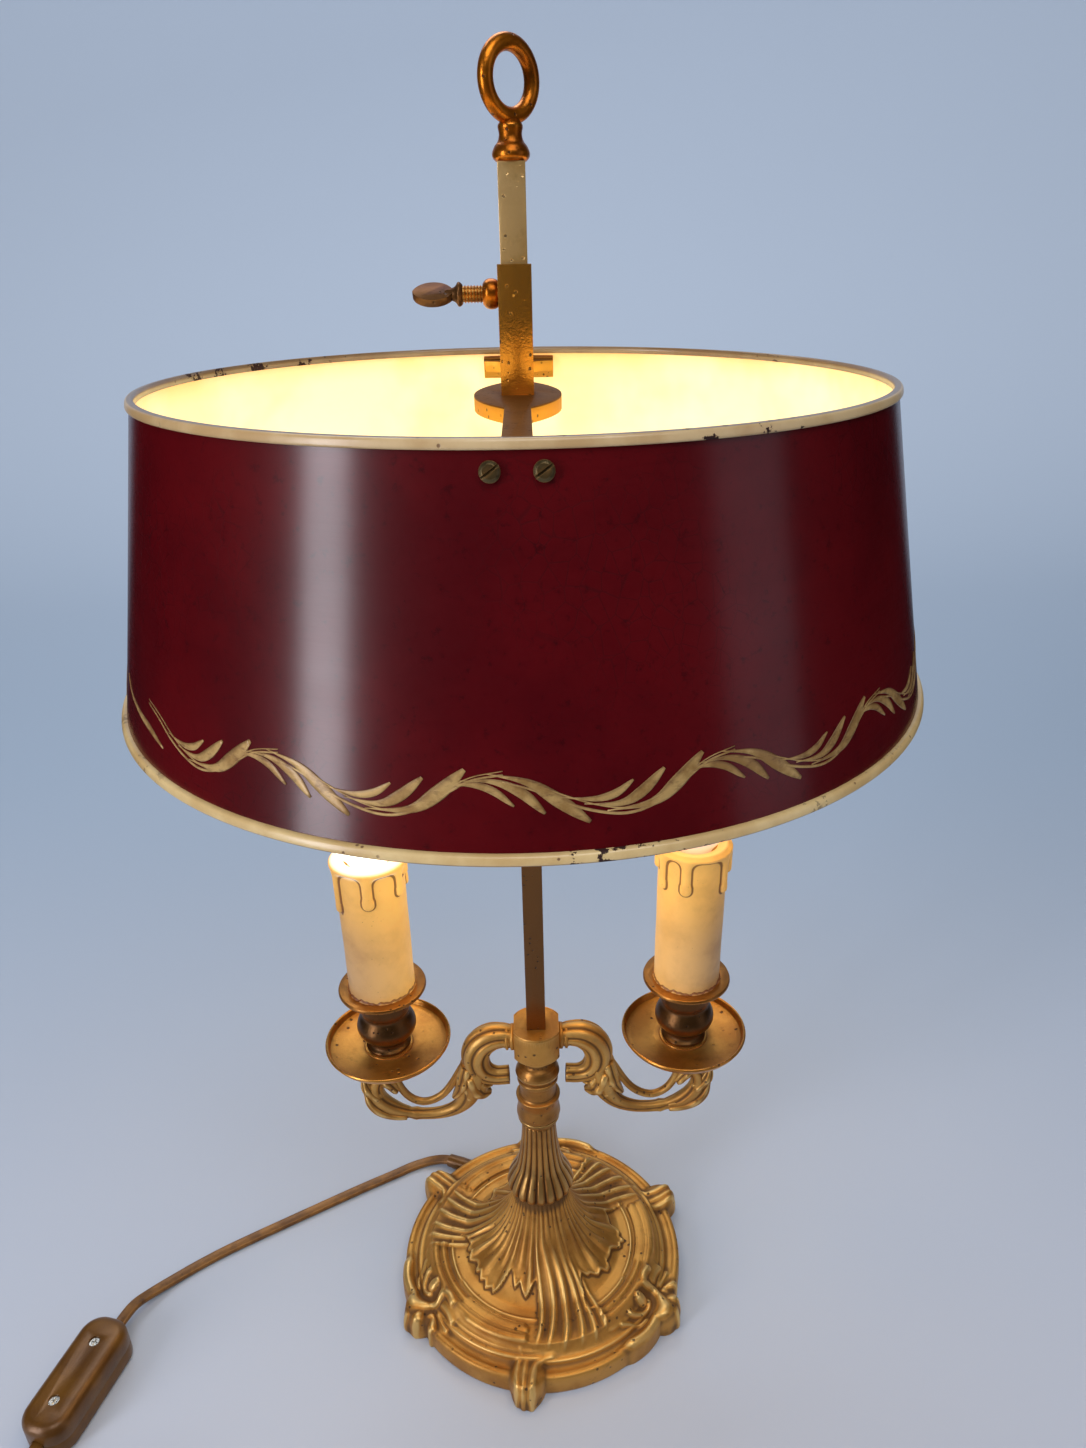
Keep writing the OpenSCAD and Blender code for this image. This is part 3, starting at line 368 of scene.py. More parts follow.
def coilPoints(setup):
    # in on the lower layer, a quarter turn up, then out on the upper layer
    outer, inner = setup["coilRadii"]
    low, high = setup["coilLayers"]
    turns = (outer - inner) / setup["width"]
    steps = setup["pointsPerTurn"]
    points = []
    for k in range(int((2 * turns + 0.25) * steps) + 1):
        t = k / steps
        if t < turns:
            r, z = outer - setup["width"] * t, low
        elif t < turns + 0.25:
            share = (t - turns) / 0.25
            r, z = inner, low + (high - low) * (3 * share ** 2 - 2 * share ** 3)
        else:
            r, z = inner + setup["width"] * (t - turns - 0.25), high
        a = math.pi + 2 * math.pi * t
        x, y = setup["coilMiddle"]
        points.append((x + r * math.cos(a), y + r * math.sin(a), z))
    return points


def flexPaint(setup):
    p = Paint("goldFlex")
    low, high, dark = setup["colours"]
    tone = p.noise(120, 4).above(0.35, 0.65)
    streak = p.noise(900, 2)
    shade = p.mix(tone, low, high)
    shade = p.mix((p.noise(260, 3, shift=3.0).above(0.62, 0.72)) * 0.6, shade, dark)
    return p.done(Base_Color=shade, Metallic=0.35, Roughness=0.3 + streak * 0.22,
                  Coat_Weight=0.1, Coat_Roughness=0.25, Normal=p.bump(streak, 0.00015, 0.5))


def flexSection(setup):
    # two cores side by side with a groove between them
    section = bpy.data.curves.new("flexSection", "CURVE")
    section.dimensions = "2D"
    rim = section.splines.new("POLY")
    rim.use_cyclic_u = True
    count = 32
    rim.points.add(count - 1)
    for k in range(count):
        a = 2 * math.pi * k / count
        waist = 1 - setup["waist"] * max(0, abs(math.sin(a)) - 0.55) / 0.45
        rim.points[k].co = (setup["width"] / 2 * math.cos(a) * mm,
                            setup["height"] / 2 * math.copysign(abs(math.sin(a)) ** 0.7,
                                                                math.sin(a)) * waist * mm, 0, 1)
    return bpy.data.objects.new("flexSection", section)


def flexCurve(name, route, section, material):
    data = bpy.data.curves.new(name, "CURVE")
    data.dimensions = "3D"
    data.twist_mode = "Z_UP"
    data.use_fill_caps = True
    spline = data.splines.new("POLY")
    path = smoothLine(route, 3)
    spline.points.add(len(path) - 1)
    for point, place in zip(spline.points, path):
        point.co = (*(place * mm), 1)
    data.bevel_mode = "OBJECT"
    data.bevel_object = section
    data.materials.append(material)
    flex = bpy.data.objects.new(name, data)
    scene.collection.objects.link(flex)
    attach(flex, "stand")
    return flex, path


def addFlex(setup):
    finish = flexSection(setup), flexPaint(setup)
    flexCurve("flexInside", setup["insideRoute"], *finish)
    line = setup["lampRoute"] + setup["tailRoute"] + coilPoints(setup) + setup["leadRoute"]
    flex, path = flexCurve("flex", line, *finish)
    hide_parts("cord_lamp_side", "cord_tail", "cord_coil", "cord_plug_lead")


addFlex(flexSetup)


# ---- metal finishes ----
giltSetup = {
    "light": (198, 146, 70), "mid": (170, 116, 48), "dark": (84, 52, 20),
    "crest": (244, 208, 132), "spot": (48, 28, 12), "metal": 0.7, "rough": 0.4,
    "cloud": 38, "pits": 210,        # how many patches and pits per metre
}
brassSetup = {
    "light": (186, 134, 66), "mid": (140, 96, 42), "dark": (70, 46, 20),
    "crest": (226, 178, 104), "spot": (40, 26, 14), "metal": 0.85, "rough": 0.32,
    "cloud": 70, "pits": 300,
}
bronzeSetup = {
    "light": (128, 86, 40), "mid": (92, 58, 26), "dark": (48, 30, 14),
    "crest": (190, 136, 74), "spot": (30, 20, 10), "metal": 0.85, "rough": 0.28,
    "cloud": 60, "pits": 280,
}


def metalPaint(name, setup, **changes):
    p, setup = Paint(name), {**setup, **changes}
    light, mid, dark, crestTone, spot = (
        colour(*setup[k]) for k in ("light", "mid", "dark", "crest", "spot"))
    relief = p.attribute("relief")
    hollow, crest = (relief * -1).above(0.02, 0.9), relief.above(0.05, 0.8)
    cloud = p.noise(setup["cloud"], 6, 0.6)
    grain = p.noise(700, 3, 0.6, shift=1.7)
    shade = p.mix(cloud.above(0.36, 0.62), mid, light)
    shade = p.mix(p.noise(150, 5, 0.65, shift=4.1).above(0.55, 0.75) * 0.4, shade, dark)
    shade = p.mix(hollow * 0.85, shade, dark)
    shade = p.mix(crest * 0.55, shade, crestTone)
    if "low" in setup:
        # another tone under a given height; on the rod it is painted shade under the shade, on the
        # bracket painted light from the lamps
        tone, start, end = setup["low"]
        shade = p.mix(1 - p.axes()[2].above(start, end), shade, colour(*tone))
    # small casting pits, only in patches
    pit = 1 - p.cells(setup["pits"]).above(0.10, 0.19)
    pit = pit * p.noise(45, 3, shift=7.3).above(0.42, 0.52)
    shade = p.mix(pit * 0.8, shade, spot)
    height = grain * 0.35 + cloud * 0.5 - pit * 1.5
    return p.done(Base_Color=shade, Metallic=setup["metal"] - hollow * 0.3 - pit * 0.3,
                  Specular_Tint=setup.get("edge", (1, 1, 1, 1)),
                  Roughness=setup["rough"] + grain * 0.14 + hollow * 0.2 - crest * 0.08,
                  Normal=p.bump(height, 0.00035, 0.7))


gilt = metalPaint("giltBronze", giltSetup)
brass = metalPaint("agedBrass", brassSetup)
# the slider and finial are redder and shinier, the stem browner than the base, the pans orange
redBrass = metalPaint("redBrass", brassSetup, light=(200, 116, 22), mid=(152, 80, 10),
                      dark=(58, 32, 8), crest=(232, 170, 72), rough=0.24)
stemGilt = metalPaint("stemGilt", giltSetup, light=(170, 118, 56), mid=(134, 88, 38),
                      dark=(54, 32, 12), metal=0.8, rough=0.3)
panGilt = metalPaint("panGilt", giltSetup, light=(214, 152, 70), mid=(178, 118, 50),
                     dark=(80, 46, 16), crest=(206, 150, 76), metal=0.85, rough=0.27)
cupBronze = metalPaint("cupBronze", bronzeSetup, light=(168, 114, 52), mid=(142, 92, 40),
                       crest=(176, 122, 62), low=((98, 66, 34), 0.188, 0.1945))


# ---- base casting ----
baseSetup = {
    "sides": 500,
    # rows of points: how far down the cone they are 1 mm apart, then their step, then the
    # length of the rim and its count of rows
    "rows": (34, 0.42, 12, 16),
    "ribs": 40,
    "ribDepth": 0.8,
    "leafThick": 1.3,
    "leafTurn": 0.25,
    "foldMiddle": 282,        # angle of the long folds in front
    "folds": (262, 300),      # angles between which the ribs give way to them
    "ground": 18,             # height of the flat ground inside the ring
    "bandTop": 19.6,          # height of the ring where it is one flat band
    # dark grooves of the ring and of the rim: radius, half-width
    "grooves": ((51.2, 0.9), (56, 0.6)),
    "rimGroove": (68.4, 1.4),
    # the skin from the top of the cone down to the table: radius, height
    "skin": [(13.5, 62), (14, 58), (15.1, 53), (16.7, 47.5), (19, 42), (21.8, 37), (25.2, 32),
             (28.6, 28.4), (33.2, 24.2), (38, 20.4), (42, 18.3), (45, 18), (49, 18), (51.6, 18),
             (52.6, 19), (54, 19.7), (55.2, 19.3), (56, 18.7), (56.8, 19.5), (58.2, 20),
             (59.7, 19.5), (61, 17.6), (63.5, 14.6), (66, 12.4), (68.5, 11), (70.6, 11.2),
             (72.4, 12), (74.2, 11.8), (75, 10.4), (75.2, 6.6), (75.2, 2), (74.4, 0)],
    "underside": [(69.8, 0), (69.8, 8), (54, 13.6), (40, 15), (30.6, 22), (22.5, 31),
                  (18.6, 40), (15, 50), (5.08, 50), (5.08, 62)],
    # outline of the leaves round the cone: angle, radius
    "leafEdge": [(0, 42.8), (2, 42.4), (6, 37.6), (15, 38), (20, 37), (24, 52), (30, 57.5),
                 (52, 57.5), (58, 50), (61, 36), (66, 41), (74, 41.4), (80, 38), (86, 42.4),
                 (94, 43), (102, 38), (108, 42), (114, 42.6), (122, 39.6), (130, 42), (137, 38),
                 (143, 36), (146, 50), (149, 57.5), (170, 57.5), (174, 52), (178, 41), (181, 40.7),
                 (186, 38.6), (189, 41.4), (193, 38.8), (198, 41.6), (203, 38.4), (207, 38.6),
                 (210, 41.3), (213, 38.6), (217, 41.9), (220, 39.6), (224, 42.9), (228, 40),
                 (231, 42.4), (234, 38), (236.5, 30), (239, 30.5), (243, 34), (246, 36.4),
                 (249, 33), (252, 36), (256.6, 39), (260, 34), (263, 31.2), (265.5, 34),
                 (267, 57.5), (288, 57.5), (294, 54), (299, 44), (303, 35.3), (307, 33),
                 (310, 36), (314, 36), (318, 39), (323, 38), (326, 41.3), (330.5, 41),
                 (333, 38.4), (338, 38.6), (343, 38), (346, 39.7), (349, 43.7), (353, 43),
                 (355, 45.9), (358, 42)],
    # ridges that flow down from the cone on one third of the base: points, width, height
    "flows": [
        ([(-0.6, -15), (0.4, -20), (2.4, -26), (4.4, -34), (5, -44), (4, -54), (1.4, -63)],
         3.4, 1.9),
        ([(2.6, -15), (4.6, -20), (7.6, -26), (10, -34), (11.4, -46), (11.4, -55), (9.6, -63)],
         3.6, 2.1),
        ([(5.8, -14), (8.4, -19), (12, -26), (15.6, -34), (18, -44), (19.2, -53), (18.6, -61)],
         3.4, 1.8),
        ([(8.8, -13), (12, -20), (16.4, -29), (20.4, -38), (23.6, -46), (25.4, -53), (25.8, -59)],
         3.0, 1.5),
        ([(11, -12), (15.4, -20), (20.4, -29), (24.6, -37), (28, -44), (30.4, -50), (31.2, -54)],
         2.6, 1.2),
        ([(-3.4, -16), (-3, -22), (-1.6, -32), (-0.8, -44), (-2, -54), (-4.6, -62)], 2.6, 1.3),
    ],
    # strokes on one third of the base: points, width, height
    "strokes": [
        # scroll foot: the C, the arc round its eye, then the shell
        ([(38, -61), (44, -58.6), (51, -54), (56.5, -47.4), (59.8, -40), (60, -35), (58, -31.2),
          (54.5, -29.8), (51, -31)], 4.2, 2.5),
        ([(42, -44.4), (46.4, -44.6), (51.2, -43), (54, -39.4), (53.8, -35.6)], 2.9, 1.9),
        ([(37.4, -50.4), (43.5, -49), (49, -48.6), (53.6, -45)], 2.4, 1.2),
        ([(52.6, -29.6), (53.4, -25), (56.8, -20.8)], 3.4, 1.5),
        ([(56.4, -28.6), (58.8, -22.6), (62.8, -17)], 3.7, 1.9),
        ([(60, -28.8), (63.8, -24), (67, -18.4)], 3.5, 1.7),
        ([(61.6, -31), (66, -27.8), (70.6, -26)], 3.4, 1.6),
        ([(62, -35), (66.8, -33.8), (72, -34)], 3.2, 1.1),
        ([(62.4, -39.4), (68, -40.8), (73.4, -42)], 3.3, 1.1),
        ([(60, -43.6), (65, -46.6), (69, -49.4)], 2.8, 0.8),
        # leaf foot
        ([(-12.6, -63), (-14, -69), (-13, -75), (-10.6, -80.6)], 2.4, 0.9),
        ([(-8.6, -63), (-10, -69), (-10, -75), (-9.4, -82)], 2.2, 0.7),
        ([(7, -64.8), (0.6, -65.2), (-4, -67.8), (-5.6, -72), (-6.2, -77), (-7.6, -81.4)],
         2.9, 1.2),
        ([(-12.4, -60.2), (-11.4, -64), (-13.4, -67)], 1.6, 0.6),
    ],
    # round knobs on each third: place, radius, height
    "knobs": [(50.2, -37.4, 3.1, 2.6), (73.6, -44.6, 2.8, 1.0)],
    # ridges that follow the rim on each third: start, end, radius at each, width, height
    "ridges": [
        (226, 263, 60.6, 60.2, 1.8, 0.7),
        (208, 272, 66.4, 65.0, 2.4, 1.1),
        (212, 268, 63.4, 63.2, 1.5, 0.5),
        (264, 326, 66.2, 67.4, 2.4, 1.1),
        (300, 326, 62.8, 63.6, 1.5, 0.5),
        (206, 268, 48.8, 48.2, 1.7, 0.7),
        (296, 330, 49.2, 49.4, 1.7, 0.7),
    ],
    "scrollFeet": {"first": 328.6, "half": 6.6, "reach": 6.6, "rise": 2.2},
    "leafFeet": {"first": 263.3, "half": 6.6, "reach": 8.4, "rise": 3.4},
    "flatBand": (221, 260),   # here the ring is one flat band
    "covered": (261, 302),    # and here the long folds run over it
}


def strokeHeight(x, y, line, width, height, grow=0.12, fade=0.1):
    # a rounded ridge along a line; grow and fade are the shares over which it rises and ends
    line = smoothLine(line, 3)
    reach = width * 2.2
    near = ((x > line[:, 0].min() - reach) & (x < line[:, 0].max() + reach)
            & (y > line[:, 1].min() - reach) & (y < line[:, 1].max() + reach))
    out = np.zeros(x.shape)
    px, py = x[near], y[near]
    best, along = np.full(px.shape, 1e9), np.zeros(px.shape)
    for i, (a, b) in enumerate(zip(line, line[1:])):
        d = b - a
        t = np.clip(((px - a[0]) * d[0] + (py - a[1]) * d[1]) / (d @ d), 0, 1)
        away = np.hypot(px - a[0] - t * d[0], py - a[1] - t * d[1])
        along = np.where(away < best, (i + t) / (len(line) - 1), along)
        best = np.minimum(away, best)
    rise = 0.15 + 0.85 * softBump(along, 0, grow)
    end = softBump(1 - along, -0.04, fade)
    w = width * (0.45 + 0.55 * rise) * (0.6 + 0.4 * end)
    out[near] = height * rise * end * np.exp(-(best / (0.5 * w)) ** 2)
    return out


def fromMiddle(turn, middle):
    # degrees from the nearest of three places, a third of the base apart
    return (turn - middle + 60) % 120 - 60


def footShare(turn, feet):
    # 1 in the middle of a foot, 0 beside it
    away = fromMiddle(turn, feet["first"])
    return np.clip(1 - (away / feet["half"]) ** 2, 0, 1) ** 0.75


def bandShare(turn, low, high):
    # 1 between two angles of each third, with soft ends
    half = (high - low) / 2
    away = np.abs(fromMiddle(turn, low + half))
    return 1 - softBump(away, half - 1.5, half + 0.5)


def baseShell(setup):
    skin = smoothLine(setup["skin"], 12)
    run = np.concatenate([[0], np.cumsum(np.linalg.norm(np.diff(skin, axis=0), axis=1))])
    upper, step, length, count = setup["rows"]
    end = run[-1]
    wanted = np.concatenate([np.arange(0, upper, 1.0), np.arange(upper, end - length, step),
                             np.linspace(end - length, end, count)])
    r = np.interp(wanted, run, skin[:, 0])
    z = np.interp(wanted, run, skin[:, 1])
    dr, dz = np.gradient(r), np.gradient(z)
    size = np.hypot(dr, dz)
    outR, outZ = (-dz / size)[:, None], (dr / size)[:, None]
    turn = np.linspace(0, 360, setup["sides"], endpoint=False)[None, :]
    q = np.radians(turn)
    r, z = r[:, None], z[:, None]
    x, y = r * np.cos(q), r * np.sin(q)

    # leaves: thick inside their outline, with grooves that fan out from the cone
    angles, radii = zip(*setup["leafEdge"])
    edge = np.interp(turn, angles, radii, period=360)
    for _ in range(2):
        edge = (np.roll(edge, 1, 1) + 2 * edge + np.roll(edge, -1, 1)) / 4
    inLeaf = softBump(edge - r, -0.35, 0.75)
    sway = setup["leafTurn"] * (r - 20) * np.sin(np.radians(3 * (turn - setup["foldMiddle"])))
    sway = sway + 1.5 * np.sin(np.radians(5 * turn + 50)) + 0.9 * np.sin(np.radians(11 * turn))
    fan = np.cos(np.radians(setup["ribs"] * (turn + sway)))
    coarse = np.cos(np.radians(setup["ribs"] / 2 * (turn + sway)))
    bands = bandShare(turn, *setup["folds"]) * softBump(r, 15, 24)
    ribs = setup["ribDepth"] * (np.abs(fan * 0.5 + 0.5) ** 0.6 - 0.6)
    ribs = ribs * softBump(r, 13.4, 15) * (1 - 0.5 * softBump(r, 30, 36))
    ribs = ribs + 0.5 * (coarse - 0.2) * softBump(r, 24, 32)
    # the long folds sink into the ground before the ring
    sunk = softBump(r, 43, 54)
    lip = np.exp(-((edge - r - 1.0) / 0.9) ** 2) * softBump(r, 28, 33) * (1 - sunk)
    plate = setup["leafThick"] * softBump(r, 27, 36) * (1 - sunk) * (1 - 0.75 * bands)
    height = inLeaf * (ribs * (1 - bands) + plate
                       + 0.5 * lip * (1 - bands) + 0.5 * bands * (1 - sunk))
    strokes = np.zeros(x.shape)
    for third in range(3):
        c, s = math.cos(math.radians(-120 * third)), math.sin(math.radians(-120 * third))
        for kind, grow, fade in (("flows", 0.6, 0.2), ("strokes", 0.12, 0.1)):
            for line, width, rise in setup[kind]:
                moved = [(c * a - s * b, s * a + c * b) for a, b in line]
                strokes = np.maximum(strokes,
                                     strokeHeight(x, y, moved, width, rise, grow, fade))
        for a, b, size, rise in setup["knobs"]:
            away = np.hypot(x - c * a + s * b, y - s * a - c * b) / size
            strokes = np.maximum(strokes, rise * np.sqrt(np.clip(1 - away ** 2, 0, 1)))
        for low, high, near, far, width, rise in setup["ridges"]:
            a, b = np.radians(np.linspace(low, high, 9) - 120 * third), np.linspace(near, far, 9)
            arc = np.stack([b * np.cos(a), b * np.sin(a)], -1)
            strokes = np.maximum(strokes, strokeHeight(x, y, arc, width, rise))
    raised = height + strokes

    # the ring flattens to one band on part of each third
    flat = bandShare(turn, *setup["flatBand"]) * softBump(r, 50.4, 51.4) * softBump(-r, -58, -56.8)
    height = raised * (1 - flat * 0.5) + flat * (setup["bandTop"] - z)
    covered = bandShare(turn, *setup["covered"]) * softBump(r, 50, 51.6) * softBump(-r, -62, -60)
    drop = covered * (setup["ground"] - z)

    # feet push the rim out and swell on top
    scroll, leaf = (footShare(turn, setup[k]) for k in ("scrollFeet", "leafFeet"))
    atRim = softBump(r, 67.5, 74.5)
    onTop = softBump(r, 63, 70) * softBump(z, 3, 9)
    push = atRim * (scroll * setup["scrollFeet"]["reach"] + leaf * setup["leafFeet"]["reach"])
    foot = onTop * (scroll * setup["scrollFeet"]["rise"] + leaf * setup["leafFeet"]["rise"])
    toe = 1 - 0.22 * softBump(z, 5, 12)
    newR = r + outR * height * (1 - covered) + push * toe
    upward = outZ + (1 - outZ) * covered
    newZ = np.maximum(z + upward * height + drop + foot, 0)

    # relief for the patina: how far a point lies above the mean of its neighbours; a painted
    # shadow under the trumpet's skirt is taken off it below
    total = blurred = raised + foot * 0.4
    for _ in range(3):
        blurred = sum(np.roll(blurred, k, 1) for k in (-2, -1, 0, 1, 2)) / 5
        padded = np.vstack([blurred[:1]] * 2 + [blurred] + [blurred[-1:]] * 2)
        blurred = sum(padded[k:k + len(blurred)] for k in range(5)) / 5
    relief = np.clip((total - blurred) * 1.9, -1, 1)
    relief -= 0.75 * np.exp(-((r - edge - 0.6) / 0.6) ** 2) * softBump(r, 29, 31) * (1 - sunk)
    inner, outer, rim = (np.exp(-((r - middle) / half) ** 2)
                         for middle, half in (*setup["grooves"], setup["rimGroove"]))
    relief -= 0.5 * (inner + outer * (1 - flat)) * (1 - covered)
    relief -= 0.35 * rim
    # painted shadow: the top of the cone under the trumpet's skirt is darkened
    relief -= 0.9 * softBump(z, 52, 58)
    return hollowShell(newR, newZ, q, setup["underside"], relief)


makePiece("baseBronze", [baseShell(baseSetup)], "stand", gilt, ("base_casting",))
print("base")


# ---- stem ----
trumpetSetup = {
    "flutes": 20,
    "depth": 1.5,
    # radius, height and share of the flutes' depth
    "rings": [(12.6, 62, 0.1), (15, 62.4, 0.5), (16.6, 63.4, 0.85), (17.4, 65.2, 1),
              (17.2, 67.6, 1), (15.9, 70.8, 0.92), (14.3, 74, 0.85), (12, 78.6, 0.75),
              (10.3, 86.8, 0.62), (9.1, 97.4, 0.5), (8.5, 108, 0.4)],
    "bore": 5.1,
}


def trumpetShell(setup):
    line = smoothLine(setup["rings"], 7)
    sides = setup["flutes"] * 22
    q = np.linspace(0, 2 * np.pi, sides, endpoint=False)[None, :]
    wave = np.abs(np.cos(setup["flutes"] * q / 2))
    groove = (1 - wave) ** 2
    r = line[:, :1] - setup["depth"] * line[:, 2:] * groove
    z = np.broadcast_to(line[:, 1:2], r.shape)
    # petals at the skirt: each reed ends in its own round tip
    tip = softBump(-z, -66, -62)
    r = r - tip * 1.1 * (1 - wave ** 0.6)
    relief = (0.4 - groove * 1.7) * np.clip(line[:, 2:] + 0.2, 0, 1)
    # painted shadow: the skirt's lower edge and the petals' undersides are darkened
    relief = relief - 1.2 * softBump(-z, -64.4, -62.6)
    return hollowShell(r, z, q, [(setup["bore"], line[k, 1]) for k in (-1, 0)], relief)


makePiece("trumpetBronze", [trumpetShell(trumpetSetup)], "stand", stemGilt,
          ("fluted_trumpet",))

# ---- arms ----
armSetup = {
    "scroll": [(12.5, 162.8), (17, 163.6), (22.4, 162.8), (27.4, 159), (30, 152.6),
               (29.4, 145.8), (26, 140.6), (20.6, 138.2), (14, 138.4)],
    "scrollSize": [5.6, 6.2, 6.9, 7.3, 7.2, 6.6, 5.6, 4.8, 4.7],
    "lower": [(29, 148), (31.6, 136), (34.6, 126), (40, 118.6), (48, 114.8), (57, 114),
              (66, 115.4), (74, 119.4), (79.6, 126), (80.4, 134), (76.6, 142), (72, 149)],
    "lowerSize": [4, 6.6, 5.4, 3.8, 3.1, 2.9, 3.2, 4.2, 4.4, 3.8, 3.6, 3.4],
    "upper": [(33, 151), (37.6, 143), (42.6, 133.6), (47.4, 127), (53, 123.2), (58.6, 122.4),
              (64, 125.4), (68, 131.6), (70.4, 140), (71.5, 149)],
    "upperSize": 2.0,
    # leaf tips under the scroll and along the strands: points, size
    "leaves": [([(33.4, 141), (31, 133.4), (27.6, 128.6), (23.4, 127.2)], [4.8, 6, 4.4, 1.2]),
               ([(34, 146), (35.8, 138), (38, 131), (42.4, 124.4)], [4, 4.6, 3.6, 1.1]),
               ([(29.6, 138.6), (26.4, 134), (22.4, 132.6)], [3.8, 3.4, 1.1]),
               ([(36, 134), (34, 127), (36.4, 121.6)], [3.6, 4, 1.2]),
               ([(66, 114.6), (75, 117), (82.4, 122.4), (86, 129)], [3, 4, 3.6, 1.1]),
               ([(79, 127), (84.4, 133.4), (86, 140)], [3.4, 3.4, 1.1]),
               ([(70, 131), (74.6, 137), (80.4, 139.4)], [2.6, 3.2, 1.1])],
    "boss": [(3.4, 146), (5.4, 148), (6.6, 151), (5.2, 154.4), (6.4, 156.6), (8.4, 159)],
    "collars": [(10.9, 6.4), (12.5, 6.4), (12.8, 5.4), (13.6, 5.4), (13.9, 6.3), (14.9, 6.3),
                (15.2, 5.4), (15.9, 5.2)],
    "rootHeight": 162.5,
}


def reeds(count, depth, twist=0.0, narrow=1.4, start=0.0):
    # rounded reeds with grooves between them
    def profile(q, t):
        wave = np.abs(np.cos(count * (q + twist * t + start) / 2))
        return 1 - depth * (1 - wave) ** narrow
    return profile


def bound(q, t):
    # reeds, with a seam round the strand halfway along
    seam = 0.12 * np.exp(-((t - 0.5) / 0.012) ** 2) - 0.1 * np.exp(-((t - 0.53) / 0.012) ** 2)
    return reeds(4, 0.17, 2.2, 2.2)(q, t) + seam


def leafForm(q, t):
    # a midrib and two lobed sides
    wave = np.abs(np.cos(3 * q))
    return 1 - 0.2 * (1 - wave) ** 1.5 + 0.06 * np.sin(16 * t) * np.cos(q) ** 2


def armShells(setup, side):
    def placed(path, steps=6):
        return smoothLine([(x * side, 0, z) for x, z in path], steps)

    across = (0, side, 0)
    shells = [
        sweep(placed(setup["scroll"]), smoothLine(setup["scrollSize"], 6), 72,
              reeds(7, 0.2, 0, 1.9, 0.2), across),
        sweep(placed(setup["lower"]), smoothLine(setup["lowerSize"], 6), 48, bound, across),
        sweep(placed(setup["upper"]), setup["upperSize"], 24, reeds(3, 0.12, 2.0), across),
    ]
    for path, size in setup["leaves"]:
        shells.append(sweep(placed(path, 8), smoothLine(size, 8), 36, leafForm, across, 1.35))
    shells.append(lathe(setup["boss"], 64, 5, (candleAway * side, 0)))
    root, faces, _ = lathe([(r, x) for x, r in setup["collars"]], 48, 1)
    root = np.stack([root[:, 2] * side, root[:, 1], setup["rootHeight"] + root[:, 0]], -1)
    return shells + [(root, faces, None)]


for word, side in hands.items():
    makePiece("arm" + word.title(), armShells(armSetup, side), "stand", gilt,
              ("arm_" + word,))
print("stem and arms")


# ---- candles ----
candleSetup = {
    "radius": 15.2,
    "wall": 1.4,
    "bottom": 196.2,
    "top": {"left": 268.2, "right": 271.0},
    "thick": 2.0,
    "sides": 260,
    "rim": 3.0,               # height of the closed band of wax at the top
    "slope": 2.1,             # mm over which the wax swells from its edge
    "fillet": 4.4,
    # wax drips on each candle: angle, length, width
    "drips": {
        "left": [(213, 24, 4.2), (273, 19, 5.4), (331, 16.6, 4.6), (354, 9, 4.2),
                 (26, 20, 4.8), (64, 15, 4.6), (98, 21, 5.2), (134, 16, 4.4), (172, 19, 4.8)],
        "right": [(184, 12.4, 4.2), (207, 20, 4.4), (251, 19.6, 5.2), (323, 21.6, 4.6),
                  (349, 15, 4.2), (22, 22, 4.8), (62, 17, 4.6), (100, 23, 5.2), (140, 18, 4.6)],
    },
    # resin near the foot, resin near the top, then the brown of blotches, pits and the painted
    # shade along the drip edges
    "wax": (colour(202, 158, 102), colour(214, 160, 80), colour(104, 48, 8)),
    "glow": colour(255, 196, 92),
    # for each candle: strength of the painted glow on the resin, tone and radius of the painted
    # hot core round the bulb
    "core": {"left": (0.7, colour(255, 252, 240), 0.0156),
             "right": (0.6, colour(240, 180, 100), 0.0140)},
    # tint of each bulb and how bright it shines
    "bulbs": {"left": (colour(255, 246, 224), 2.4), "right": (colour(240, 214, 190), 0.45)},
    "bulbFoot": 258.2,
}


def candleShell(setup, x, top, drips):
    bottom, base = setup["bottom"], setup["radius"]
    q = np.linspace(0, 360, setup["sides"], endpoint=False)[None, :]
    z = np.concatenate([np.linspace(bottom, bottom + 4, 17), np.linspace(bottom + 8, top - 26, 7),
                        np.linspace(top - 24, top, 86)])[:, None]
    # distance in mm from the edge of the wax that ran down, negative inside it
    gap = top - setup["rim"] + 0.5 * np.sin(np.radians(3 * q + 40)) - z
    for angle, length, width in drips:
        away = ((q - angle + 180) % 360 - 180) * math.pi / 180 * base
        end = top - length + width / 2
        narrow = 1 - 0.16 * softBump(z, end + 1.5, end + 4)
        drip = np.hypot(away, np.minimum(z - end, 0)) - width / 2 * narrow
        near = np.clip(0.5 + 0.5 * (drip - gap) / setup["fillet"], 0, 1)
        gap = drip + (gap - drip) * near - setup["fillet"] * near * (1 - near)
    deep = np.clip(-gap / setup["slope"], 0, 1)
    wax = np.sqrt(deep * (2 - deep))
    # painted shade: the relief is dark along the edge of the wax that ran down
    relief = -1.1 * np.exp(-((gap - 0.3) / 0.46) ** 2) + 0.25 * wax
    crumb = bottom + 1.3 + sum(0.22 * np.sin(np.radians(k * q + 31 * k)) for k in (7, 12, 19, 31))
    foot = 0.9 * (1 - softBump(z, crumb, crumb + 0.6)) * softBump(z, bottom + 0.4, bottom + 0.7)
    relief = relief - 1.1 * np.exp(-((z - crumb - 0.5) / 0.4) ** 2)
    rounded = 0.9 * softBump(z, top - 1.3, top) ** 2
    r = base + setup["thick"] * wax * (1 - 0.45 * softBump(z, top - 1.6, top))
    r = r - rounded + foot * 0.7
    r = r + 0.05 * np.sin(np.radians(5 * q) + z * 0.2)
    bore = base - setup["wall"]
    # a ledge round the lamp, then the bore
    inner = [(bore - 0.4, top - 0.05), (bore - 1.6, top - 0.35), (11, top - 0.6),
             (10.6, top - 1.2), (10.8, top - 2.6), (bore, top - 3.4), (bore, bottom)]
    return hollowShell(r, np.broadcast_to(z, r.shape), np.radians(q), inner,
                       relief - foot * 0.2, x)


